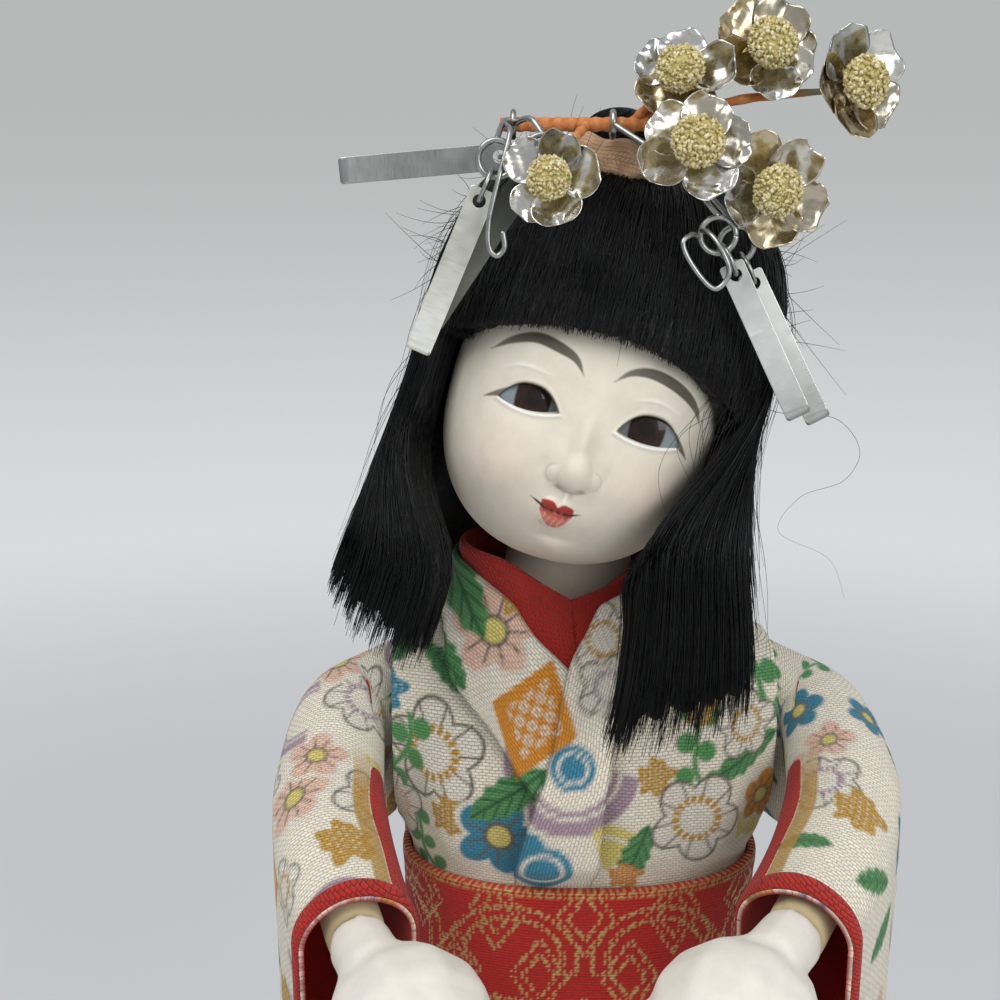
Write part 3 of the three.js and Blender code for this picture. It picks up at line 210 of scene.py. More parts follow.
BENT_WIRE = 0.4
CLASPS = (("left", -12, "ab"), ("right", 3, "de"))
STRIP_SET_BACK = {"a": -0.7, "c": -0.25}


def linear(code):
    """A linear colour from an sRGB hex value."""
    parts = [int(code[i:i + 2], 16) / 255 for i in (1, 3, 5)]
    return tuple(c / 12.92 if c <= 0.04045 else ((c + 0.055) / 1.055) ** 2.4 for c in parts)


def colour_property(name, code, description):
    """A colour that the user may change, with its default as an sRGB hex value."""
    return bpy.props.FloatVectorProperty(
        name=name, description=description, default=linear(code), size=3, min=0, max=1, subtype="COLOR")


class DollClothColours(bpy.types.PropertyGroup):
    """Dyes of the kimono and the obi."""
    ground: colour_property("Ground", "#f6edd9", "Undyed cotton under the print")
    leaf: colour_property("Leaf", "#5a9a5c", "Green of the printed leaves")
    leaf_dark: colour_property("Leaf veins", "#2f5a35", "Dark green of veins and edges")
    blue: colour_property("Blue", "#3f8ba6", "Blue of discs and petals")
    mauve: colour_property("Mauve", "#b39aa6", "Mauve of the arcs")
    ochre: colour_property("Ochre", "#c6983a", "Ochre of rings and patches")
    yellow: colour_property("Yellow", "#e6d47c", "Pale yellow of the wedges")
    orange: colour_property("Orange", "#e0922f", "Orange of diamonds and bands")
    pink: colour_property("Pink", "#eec6b0", "Pink of the blossoms")
    line: colour_property("Line", "#6e6658", "Grey-brown of drawn lines")
    white: colour_property("Resist", "#efe8d8", "Lines left free of dye")
    red: colour_property("Lining red", "#c0281c", "Red of the lining and the under-collar")
    obi: colour_property("Obi red", "#b3241b", "Red ground of the obi")
    gold: colour_property("Gold", "#c9a36a", "Metal thread of the obi")
    peach: colour_property("Peach", "#e8bd95", "Crinkled cloth round the topknot")


class DollPaint(bpy.types.PropertyGroup):
    """Colours of the face and the glass eyes."""
    skin: colour_property("Shell white", "#e3dac9", "Powdered-shell white of the face")
    # Painted shade: the neck is painted a greyer white than the face, for the shade under the chin.
    shade: colour_property("Neck", "#cdbfae", "Greyer white of the neck")
    brow: colour_property("Brow", "#4a4337", "Brush strokes of the brows")
    lash: colour_property("Lash", "#3a3631", "Painted lid line")
    lip_dark: colour_property("Upper lip", "#a2372d", "Red of the upper lip")
    lip_pale: colour_property("Lower lip", "#d9816f", "Coral of the lower lip")
    eye_white: colour_property("Eye white", "#828d92", "Blue-grey glass beside the iris")
    iris: colour_property("Iris", "#2b1a12", "Dark brown glass")


class DollHairShape(bpy.types.PropertyGroup):
    """Number and size of the hair strands."""
    strands: bpy.props.IntProperty(
        name="Strands", description="Strands in each of the main hair pieces", default=1850, min=50,
        max=6000)
    thickness: bpy.props.FloatProperty(
        name="Thickness", description="Radius of a strand", default=0.11 * MM, min=0.02 * MM, max=0.5 * MM,
        unit="LENGTH", precision=5)
    strays: bpy.props.IntProperty(
        name="Strays", description="Loose strands round the outline", default=70, min=0, max=400)
    black: colour_property("Hair", "#060708", "Blue-black silk")


class DollStage(bpy.types.PropertyGroup):
    """Floor, light and camera."""
    floor: colour_property("Floor", "#dcddde", "Pale floor")
    far: colour_property("Background", "#b6b9b8", "Background high behind the doll")
    low: colour_property("Low background", "#d9dbdd", "Background low down, where it meets the floor")
    key: bpy.props.FloatProperty(
        name="Key light", description="Power of the large lamp above", default=5.0, min=0, unit="POWER")
    fill: bpy.props.FloatProperty(
        name="Fill light", description="Power of the lamp beside the camera", default=3.0, min=0,
        unit="POWER")
    lens: bpy.props.FloatProperty(
        name="Lens", description="Focal length in millimetres", default=50.4, min=10,
        subtype="DISTANCE_CAMERA")


def mix(a, b, t):
    return a + (b - a) * t


def ease(low, high, value):
    t = np.clip((value - low) / (high - low), 0, 1)
    return t * t * (3 - 2 * t)


def full_turn(count):
    """Angles once round, in even steps."""
    return np.linspace(0, 2 * np.pi, count, endpoint=False)


def unit(vectors):
    return vectors / np.maximum(np.linalg.norm(vectors, axis=-1, keepdims=True), 1e-9)


def waves(points, scale, seed, count=12):
    """Smooth random relief from -1 to 1, as a sum of slanted waves about one scale long."""
    random = np.random.default_rng(seed)
    total = 0
    for _ in range(count):
        way = unit(random.normal(size=points.shape[-1]))
        length = scale * random.uniform(0.6, 1.8)
        total = total + np.sin(points @ way * (2 * np.pi / length) + random.uniform(0, 2 * np.pi))
    return total / math.sqrt(count)


def smooth_path(points, count):
    """Points along a smooth curve through the given ones."""
    given = np.asarray(points, float)
    ends = np.vstack([2 * given[0] - given[1], given, 2 * given[-1] - given[-2]])
    place = np.linspace(0, len(given) - 1, count)
    index = np.minimum(place.astype(int), len(given) - 2)
    t = (place - index)[:, None]
    a, b, c, d = (ends[index + i] for i in range(4))

    def step(p, q):
        return np.maximum(np.linalg.norm(q - p, axis=1, keepdims=True), 1e-6) ** 0.5

    ab, bc, cd = step(a, b), step(b, c), step(c, d)
    leave = ((b - a) / ab - (c - a) / (ab + bc) + (c - b) / bc) * bc
    reach = ((c - b) / bc - (d - b) / (bc + cd) + (d - c) / cd) * bc
    return b + t * (leave + t * (3 * (c - b) - 2 * leave - reach + t * (2 * (b - c) + leave + reach)))


def grid_faces(rows, cols, wrap=False):
    row = np.arange(rows - 1)[:, None] * cols
    col = np.arange(cols if wrap else cols - 1)[None, :]
    after = (col + 1) % cols
    return np.stack([row + col, row + after, row + cols + after, row + cols + col], -1).reshape(-1, 4)


class Form:
    """Points and faces of one piece in millimetres, each point with a colour and a place on flat cloth."""

    def __init__(self):
        self.points = []
        self.faces = []
        self.colours = []
        self.cloth = []
        self.slots = []
        self.size = 0

    def add(self, points, faces, colour=(1, 1, 1), cloth=None, slot=0):
        points = np.asarray(points, float).reshape(-1, 3)
        colour = np.asarray(colour, float)
        count = len(points)
        if colour.ndim == 1:
            colour = np.tile(colour, (count, 1))
        colour = colour.reshape(count, -1)
        if colour.shape[1] == 3:
            colour = np.hstack([colour, np.ones((count, 1))])
        flat = points[:, [0, 2]] if cloth is None else np.asarray(cloth, float).reshape(count, 2)
        self.faces.append(np.asarray(faces) + self.size)
        self.slots.append(np.full(len(faces), slot))
        self.points.append(points)
        self.colours.append(colour)
        self.cloth.append(flat)
        self.size += count

    def add_grid(self, grid, wrap=False, colour=(1, 1, 1), cloth=None, slot=0):
        rows, cols = grid.shape[:2]
        self.add(grid, grid_faces(rows, cols, wrap), colour, cloth, slot)

    def add_slab(self, outer, inner, wrap=False, colour=(1, 1, 1), inner_colour=None, cloth=None,
                 slots=(0, 0)):
        """A closed sheet between two grids. The inner face may have its own colour and material."""
        rows, cols = outer.shape[:2]
        first = self.size
        self.add_grid(outer, wrap, colour, cloth, slots[0])
        inner_colour = colour if inner_colour is None else inner_colour
        self.add(inner, grid_faces(rows, cols, wrap)[:, ::-1], inner_colour, cloth, slots[1])
        index = np.arange(rows * cols).reshape(rows, cols)
        borders = [(index[0], wrap), (index[-1, ::-1], wrap)]
        if not wrap:
            borders += [(index[::-1, 0], False), (index[:, -1], False)]
        for line, closed in borders:
            line = np.append(line, line[0]) if closed else line
            a, b = line[:-1], line[1:]
            rim = np.stack([b, a, a + rows * cols, b + rows * cols], -1) + first
            self.faces.append(rim)
            self.slots.append(np.full(len(rim), slots[0]))

    def add_tube(self, path, radius, sides=10, colour=(1, 1, 1)):
        """A round wire along a path, closed at both ends. The radius may change along it."""
        path = np.asarray(path, float)
        radius = np.broadcast_to(radius, len(path))
        ahead = unit(np.gradient(path, axis=0))
        side = np.cross(ahead[0], (0.31, 0.52, 0.79))
        frames = []
        for way in ahead:
            side = unit(side - way * (side @ way))
            frames.append((side, np.cross(way, side)))
        angle = full_turn(sides)
        ring = [p + r * (np.cos(angle)[:, None] * u + np.sin(angle)[:, None] * v)
                for p, r, (u, v) in zip(path, radius, frames)]
        grid = np.concatenate([[np.tile(path[0], (sides, 1))], ring, [np.tile(path[-1], (sides, 1))]])
        colour = np.asarray(colour, float)
        if colour.ndim == 2:
            colour = np.repeat(np.vstack([colour[:1], colour, colour[-1:]])[:, None], sides, 1)
        self.add_grid(grid, True, colour)

    def add_strands(self, paths, radius):
        """Many thin strands at once, each with three sides and a pointed end."""
        count, steps = paths.shape[:2]
        ahead = unit(np.gradient(paths, axis=1))
        side = unit(np.cross(ahead, (0.35, 0.21, 0.91)))
        over = np.cross(ahead, side)
        taper = np.linspace(1, 0.35, steps)[None, :, None]
        corners = []
        for angle in np.arange(3) * (2 * np.pi / 3):
            corners.append(paths + radius * taper * (math.cos(angle) * side + math.sin(angle) * over))
        grid = np.stack(corners, 2)
        faces = grid_faces(steps, 3, True)
        every = (np.arange(count)[:, None, None] * steps * 3 + faces[None]).reshape(-1, 4)
        self.add(grid, every)

    def make(self, name, materials, node, mend=True):
        """Makes the piece, lets it ride where its CAD node rides and hides that node."""
        mesh = bpy.data.meshes.new(name)
        faces = [face for group in self.faces for face in group.tolist()]
        mesh.from_pydata((np.concatenate(self.points) * MM).tolist(), [], faces)
        colour = mesh.attributes.new("colour", "FLOAT_COLOR", "POINT")
        colour.data.foreach_set("color", np.concatenate(self.colours).astype(np.float32).ravel())
        cloth = mesh.attributes.new("cloth", "FLOAT_VECTOR", "POINT")
        flat = np.concatenate(self.cloth)
        flat = np.hstack([flat, np.zeros((len(flat), 1))])
        cloth.data.foreach_set("vector", flat.astype(np.float32).ravel())
        for material in materials:
            mesh.materials.append(material)
        mesh.polygons.foreach_set("material_index", np.concatenate(self.slots).astype(np.int32))
        mesh.polygons.foreach_set("use_smooth", np.ones(len(mesh.polygons), bool))
        if mend:
            work = bmesh.new()
            work.from_mesh(mesh)
            bmesh.ops.remove_doubles(work, verts=work.verts, dist=1e-7)
            bmesh.ops.recalc_face_normals(work, faces=work.faces)
            work.to_mesh(mesh)
            work.free()
        mesh.update()
        return settle(bpy.data.objects.new(name, mesh), node)


def settle(piece, node):
    """Puts a piece in the scene on its CAD node's body, in that node's place."""
    bpy.context.scene.collection.objects.link(piece)
    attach(piece, BODY_OF[node])
    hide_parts(node)
    return piece


def softened(name, node, material, voxel, rounds):
    """A smooth copy of a faceted CAD node, made by voxel remeshing and smoothing."""
    source = frame["nodes"][node]
    copy = bpy.data.objects.new(name, source.data.copy())
    bpy.context.scene.collection.objects.link(copy)
    remesh = copy.modifiers.new("remesh", "REMESH")
    remesh.mode = "VOXEL"
    remesh.voxel_size = voxel * MM
    smooth = copy.modifiers.new("smooth", "SMOOTH")
    smooth.factor = 0.6
    smooth.iterations = rounds
    bpy.context.view_layer.update()
    mesh = bpy.data.meshes.new_from_object(copy.evaluated_get(bpy.context.evaluated_depsgraph_get()))
    bpy.data.objects.remove(copy)
    mesh.name = name
    mesh.materials.clear()
    mesh.materials.append(material)
    mesh.polygons.foreach_set("use_smooth", np.ones(len(mesh.polygons), bool))
    return settle(bpy.data.objects.new(name, mesh), node)


def cloth_size(grid):
    """Width and length in metres that a grid of cloth was cut to: its mean row and its mean column."""
    rows = np.linalg.norm(np.diff(grid, axis=1), axis=2).sum(1).mean()
    cols = np.linalg.norm(np.diff(grid, axis=0), axis=2).sum(0).mean()
    return rows * MM, cols * MM


def along_cloth(grid, start=None):
    """Place of each grid point on the flat cloth in millimetres: along its row and up its column."""
    across = np.linalg.norm(np.diff(grid, axis=1), axis=2)
    across = np.hstack([np.zeros((len(grid), 1)), np.cumsum(across, 1)])
    up = np.linalg.norm(np.diff(grid, axis=0), axis=2)
    up = np.vstack([np.zeros((1, grid.shape[1])), np.cumsum(up, 0)])
    if start is not None:
        across = across - across[:, start:start + 1]
    return np.stack([across, np.tile(up.mean(1)[:, None], (1, grid.shape[1]))], -1)


# Materials


def add_node(tree, kind, settings=None, inputs=None):
    """Adds one node, sets its fields and fills its inputs with values or with links from other sockets."""
    node = tree.nodes.new(kind)
    for field, value in (settings or {}).items():
        setattr(node, field, value)
    for socket, value in (inputs or {}).items():
        if isinstance(value, bpy.types.NodeSocket):
            tree.links.new(value, node.inputs[socket])
        else:
            node.inputs[socket].default_value = value
    return node


def new_material(name, sockets):
    """A material with one shader, whose constant sockets are set and whose linked ones follow."""
    material = bpy.data.materials.new(name)
    material.use_nodes = True
    tree = material.node_tree
    shader = tree.nodes["Principled BSDF"]
    for socket, value in sockets.items():
        shader.inputs[socket].default_value = value
    return material, tree, shader


def attribute(tree, name):
    return add_node(tree, "ShaderNodeAttribute", {"attribute_name": name})


def noise(tree, vector, scale, detail=2, roughness=0.5):
    return add_node(tree, "ShaderNodeTexNoise", inputs={
        "Vector": vector, "Scale": scale, "Detail": detail, "Roughness": roughness})


def multiplied(tree, colour, shade):
    return add_node(tree, "ShaderNodeMix", {"data_type": "RGBA", "blend_type": "MULTIPLY"}, {
        "Factor": 1, 6: colour, 7: shade})


def bumps(tree, strength, depth, height):
    return add_node(tree, "ShaderNodeBump", inputs={
        "Strength": strength, "Distance": depth, "Height": height})


def spread(tree, value, low, high):
    """The middle range of a noise, spread between two values."""
    return add_node(tree, "ShaderNodeMapRange", inputs={
        "Value": value, "From Min": 0.3, "From Max": 0.7, "To Min": low, "To Max": high})


def link(tree, shader, sockets):
    for socket, source in sockets.items():
        tree.links.new(source, shader.inputs[socket])


def woven_cloth(name, thread, row, colour=None, depth=0.16, dark=0.62, slant=0.0):
    """Plain-woven cloth: threads show as rounded dashes laid like bricks, darker between, as painted shade
    in the gaps.
    """
    material, tree, shader = new_material(name, {
        "Roughness": 0.88, "Specular IOR Level": 0.25, "Sheen Weight": 0.15, "Sheen Roughness": 0.5})
    place = attribute(tree, "cloth")
    drift = noise(tree, place.outputs["Vector"], 0.35)
    shift = add_node(tree, "ShaderNodeVectorMath", {"operation": "MULTIPLY_ADD"}, {
        0: drift.outputs["Color"], 1: (0.7, 0.7, 0), 2: place.outputs["Vector"]})
    turned = add_node(tree, "ShaderNodeVectorRotate", {"rotation_type": "Z_AXIS"}, {
        "Vector": shift.outputs[0], "Angle": slant})
    # Painted shade: the mortar colour darkens the cloth in the gaps between threads; the two brick colours
    # vary the threads at random.
    threads = add_node(tree, "ShaderNodeTexBrick", {"offset": 0.5, "offset_frequency": 2}, {
        "Vector": turned.outputs[0], "Color1": (1, 1, 1, 1), "Color2": (0.88, 0.88, 0.88, 1),
        "Mortar": (dark, dark, dark, 1), "Scale": 1, "Mortar Size": 0.1 * thread, "Mortar Smooth": 0.9,
        "Brick Width": thread, "Row Height": row})
    if colour is None:
        ground = attribute(tree, "colour").outputs["Color"]
    else:
        cloud = noise(tree, place.outputs["Vector"], 0.12, 4)
        paler = tuple(min(1, c * 1.25) for c in colour)
        darker = tuple(c * 0.75 for c in colour)
        ground = add_node(tree, "ShaderNodeMix", {"data_type": "RGBA"}, {
            "Factor": cloud.outputs["Fac"], 6: (*darker, 1), 7: (*paler, 1)}).outputs[2]
    dyed = multiplied(tree, ground, threads.outputs["Color"])
    fuzz = noise(tree, place.outputs["Vector"], 5)
    height = add_node(tree, "ShaderNodeMath", {"operation": "MULTIPLY_ADD"}, {
        0: threads.outputs["Fac"], 1: -1, 2: fuzz.outputs["Fac"]})
    bump = bumps(tree, 0.9, depth * MM, height.outputs[0])
    link(tree, shader, {"Base Color": dyed.outputs[2], "Normal": bump.outputs[0]})
    return material


def red_twill():
    """Coarse red twill of the under-collar and the sleeve edges: thick rounded threads in slanting rows."""
    red = tuple(bpy.context.scene.doll_cloth.red)
    name = "red wool twill"
    made = bpy.data.materials.get(name)
    return made or woven_cloth(name, 1.1, 0.5, red, depth=0.25, dark=0.45, slant=0.6)


def obi_brocade():
    """Ribbed red weave with flat metal thread: the gold dashes shine, the red between them is dull."""
    material, tree, shader = new_material("obi brocade", {"Specular IOR Level": 0.3, "Sheen Weight": 0.1})
    place = attribute(tree, "cloth")
    paint = attribute(tree, "colour")
    ribs = add_node(tree, "ShaderNodeTexWave", {"bands_direction": "Y"}, {
        "Vector": place.outputs["Vector"], "Scale": 0.62, "Distortion": 0.8, "Detail": 2,
        "Detail Scale": 2})
    nap = noise(tree, place.outputs["Vector"], 1.8, 4)
    level = add_node(tree, "ShaderNodeMath", {"operation": "MULTIPLY_ADD"}, {
        0: ribs.outputs["Fac"], 1: 0.45, 2: nap.outputs["Fac"]})
    shade = add_node(tree, "ShaderNodeMapRange", inputs={
        "Value": level.outputs[0], "From Min": 0.2, "From Max": 1.1, "To Min": 0.5, "To Max": 1.25})
    tone = multiplied(tree, paint.outputs["Color"], shade.outputs[0])
    gold = paint.outputs["Alpha"]
    metal = add_node(tree, "ShaderNodeMath", {"operation": "MULTIPLY"}, {0: gold, 1: 0.75})
    dull = add_node(tree, "ShaderNodeMapRange", inputs={"Value": gold, "To Min": 0.85, "To Max": 0.42})
    raised = add_node(tree, "ShaderNodeMath", {"operation": "MULTIPLY_ADD"},
                      {0: gold, 1: 0.8, 2: level.outputs[0]})
    bump = bumps(tree, 0.8, 0.16 * MM, raised.outputs[0])
    link(tree, shader, {"Base Color": tone.outputs[2], "Metallic": metal.outputs[0],
                        "Roughness": dull.outputs[0], "Normal": bump.outputs[0]})
    return material


def shell_white():
    """Powdered shell and glue, brushed on: a matte chalky white with faint mottling and small pits."""
    material, tree, shader = new_material("powdered shell white", {
        "Roughness": 0.55, "Specular IOR Level": 0.3, "Subsurface Weight": 0.08,
        "Subsurface Radius": (0.9, 0.6, 0.45), "Subsurface Scale": 0.8 * MM})
    paint = attribute(tree, "colour")
    place = add_node(tree, "ShaderNodeTexCoord")
    cloud = noise(tree, place.outputs["Object"], 320, 6, 0.6)
    pits = noise(tree, place.outputs["Object"], 1500, 3)
    shade = spread(tree, cloud.outputs["Fac"], 0.93, 1.03)
    tone = multiplied(tree, paint.outputs["Color"], shade.outputs[0])
    relief = add_node(tree, "ShaderNodeMath", {"operation": "MULTIPLY_ADD"}, {
        0: cloud.outputs["Fac"], 1: 1.5, 2: pits.outputs["Fac"]})
    bump = bumps(tree, 0.5, 0.05 * MM, relief.outputs[0])
    link(tree, shader, {"Base Color": tone.outputs[2], "Normal": bump.outputs[0]})
    return material


def eye_glass():
    """Blown glass, painted behind: a clear glossy front over brown and blue-grey."""
    material, tree, shader = new_material("painted eye glass", {
        "Roughness": 0.3, "Specular IOR Level": 0.15, "Coat Weight": 0.45, "Coat Roughness": 0.04})
    paint = attribute(tree, "colour")
    link(tree, shader, {"Base Color": paint.outputs["Color"]})
    return material


def silk_hair():
    """Dyed silk: blue-black threads with a low, broken shine."""
    black = bpy.context.scene.doll_hair.black
    material, tree, shader = new_material("black silk hair", {
        "Specular IOR Level": 0.3, "Base Color": (*black, 1)})
    place = add_node(tree, "ShaderNodeTexCoord")
    patch = noise(tree, place.outputs["Object"], 900, 3)
    shine = spread(tree, patch.outputs["Fac"], 0.24, 0.55)
    link(tree, shader, {"Roughness": shine.outputs[0]})
    return material


def foil(name):
    """Thin rolled foil, crumpled by hand: sharp creases, bright flats and a dull tarnish."""
    material, tree, shader = new_material(name, {"Metallic": 1})
    paint = attribute(tree, "colour")
    place = add_node(tree, "ShaderNodeTexCoord")
    crease = add_node(tree, "ShaderNodeTexVoronoi", {"feature": "DISTANCE_TO_EDGE"}, {
        "Vector": place.outputs["Object"], "Scale": 260})
    fine = noise(tree, place.outputs["Object"], 900, 5)
    relief = add_node(tree, "ShaderNodeMath", {"operation": "MULTIPLY_ADD"}, {
        0: fine.outputs["Fac"], 1: 0.3, 2: crease.outputs["Distance"]})
    bump = bumps(tree, 0.25, 0.3 * MM, relief.outputs[0])
    dull = spread(tree, fine.outputs["Fac"], 0.14, 0.34)
    link(tree, shader,
         {"Base Color": paint.outputs["Color"], "Roughness": dull.outputs[0], "Normal": bump.outputs[0]})
    return material


def brushed_aluminium():
    """Rolled aluminium strip: fine scratches across it spread the light into soft bands."""
    material, tree, shader = new_material("brushed aluminium", {"Metallic": 1, "Anisotropic": 0.5})
    paint = attribute(tree, "colour")
    place = attribute(tree, "cloth")
    drawn = add_node(tree, "ShaderNodeVectorMath", {"operation": "MULTIPLY"}, {
        0: place.outputs["Vector"], 1: (9, 0.35, 1)})
    scratch = noise(tree, drawn.outputs[0], 1, 5)
    dull = spread(tree, scratch.outputs["Fac"], 0.28, 0.5)
    bump = bumps(tree, 0.4, 0.03 * MM, scratch.outputs["Fac"])
    link(tree, shader,
         {"Base Color": paint.outputs["Color"], "Roughness": dull.outputs[0], "Normal": bump.outputs[0]})
    return material


def plain_grain(name, code, pale, scale, stretch, sockets, bump_depth):
    """A surface with a drawn-out grain between two tones: wood or wire."""
    material, tree, shader = new_material(name, sockets)
    place = add_node(tree, "ShaderNodeTexCoord")
    drawn = add_node(tree, "ShaderNodeVectorMath", {"operation": "MULTIPLY"}, {
        0: place.outputs["Object"], 1: stretch})
    grain = noise(tree, drawn.outputs[0], scale, 6, 0.6)
    sharp = add_node(tree, "ShaderNodeMapRange", inputs={
        "Value": grain.outputs["Fac"], "From Min": 0.32, "From Max": 0.68})
    tone = add_node(tree, "ShaderNodeMix", {"data_type": "RGBA"}, {
        "Factor": sharp.outputs[0], 6: (*linear(code), 1), 7: (*linear(pale), 1)})
    bump = bumps(tree, 0.5, bump_depth * MM, grain.outputs["Fac"])
    link(tree, shader, {"Base Color": tone.outputs[2], "Normal": bump.outputs[0]})
    return material


def painted_grain(name, scale, sockets, bump_depth):
    """A surface whose colour is painted point by point, with a grain over it."""
    material, tree, shader = new_material(name, sockets)
    paint = attribute(tree, "colour")
    place = add_node(tree, "ShaderNodeTexCoord")
    grain = noise(tree, place.outputs["Object"], scale, 5, 0.6)
    shade = spread(tree, grain.outputs["Fac"], 0.7, 1.15)
    tone = multiplied(tree, paint.outputs["Color"], shade.outputs[0])
    bump = bumps(tree, 0.6, bump_depth * MM, grain.outputs["Fac"])
    link(tree, shader, {"Base Color": tone.outputs[2], "Normal": bump.outputs[0]})
    return material


# Body under the kimono


def spread_rows(table, z):
    """Smooth values of a table's columns at the given heights. The first column holds the heights."""
    table = np.asarray(table, float)
    z = np.asarray(z, float)
    k = np.clip(np.searchsorted(table[:, 0], z, "right") - 1, 0, len(table) - 2)
    every = np.arange(len(table))
    before, after = np.maximum(every - 1, 0), np.minimum(every + 1, len(table) - 1)
    slope = (table[after] - table[before]) / (table[after, :1] - table[before, :1])
    span = (table[k + 1, 0] - table[k, 0])[..., None]
    t = (z[..., None] - table[k][..., :1]) / span
    p, q, s, e = table[k], table[k + 1], slope[k] * span, slope[k + 1] * span
    return (p + t * (s + t * (3 * (q - p) - 2 * s - e + t * (2 * (p - q) + s + e))))[..., 1:]


def chest_z(share):
    return OBI_TOP + share * CHEST_HEIGHT


BODY_ROWS = (
    (OBI_Z, WAIST_HALF[0], WAIST_HALF[1], 0),
    (OBI_TOP, WAIST_HALF[0] + 1, WAIST_HALF[1] + 0.8, 0),
    (chest_z(0.3), CHEST_HALF[0], CHEST_HALF[1], 0),
    (chest_z(0.54), SHOULDER_HALF[0], CHEST_HALF[1] - 1, 0),
    (chest_z(0.74), SHOULDER_HALF[0], SHOULDER_HALF[1], 0),
    (chest_z(0.86), mix(SHOULDER_HALF[0], NECKLINE_HALF[0], 0.42), SHOULDER_HALF[1] - 1.6, NECK_SHIFT / 2),
    (NECK_Z, NECKLINE_HALF[0] + 1, NECKLINE_HALF[1] + 0.6, NECK_SHIFT),
    (NECK_Z + COLLAR_STAND, NECKLINE_HALF[0], NECKLINE_HALF[1], NECK_SHIFT),
)
SKIRT_ROWS = (
    (HEM_Z, HEM_HALF[0], HEM_HALF[1], 0),
    (mix(HEM_Z, OBI_Z, 0.2), HEM_HALF[0] - 3, HEM_HALF[1] - 2.4, 0),
    (mix(HEM_Z, OBI_Z, 0.7), WAIST_HALF[0] + 2, WAIST_HALF[1] + 2.6, 0),
    (OBI_Z, WAIST_HALF[0] - GAP, WAIST_HALF[1] - GAP, 0),
    (OBI_TOP, WAIST_HALF[0] - GAP, WAIST_HALF[1] - GAP, 0),
)


def body_points(rows, angle, z, offset, swell=0):
    """Points round the body at angles from straight ahead and heights, some way outside it."""
    width, depth, shift = np.moveaxis(spread_rows(rows, z), -1, 0)
    wide, deep, _ = np.moveaxis(spread_rows(rows, z + 0.5) - spread_rows(rows, z - 0.5), -1, 0)
    lean = (wide + deep) / 2
    c, s = np.sin(angle), -np.cos(angle)
    reach = (np.abs(c) ** ROUNDNESS + np.abs(s) ** ROUNDNESS) ** (-1 / ROUNDNESS)
    x = shift + (width + offset / np.hypot(1, wide) + swell) * c * reach
    y = (depth + offset / np.hypot(1, deep) + swell) * s * reach
    return np.stack([x, y, z - offset * lean / np.hypot(1, lean)], -1)


def front_angle(x, z):
    """Angle round the body of a place seen from the front."""
    width, _, shift = np.moveaxis(spread_rows(BODY_ROWS, z), -1, 0)
    t = np.clip((x - shift) / width, -0.999, 0.999)
    return np.arctan2(t, (1 - np.abs(t) ** ROUNDNESS) ** (1 / ROUNDNESS))


# Print of the kimono


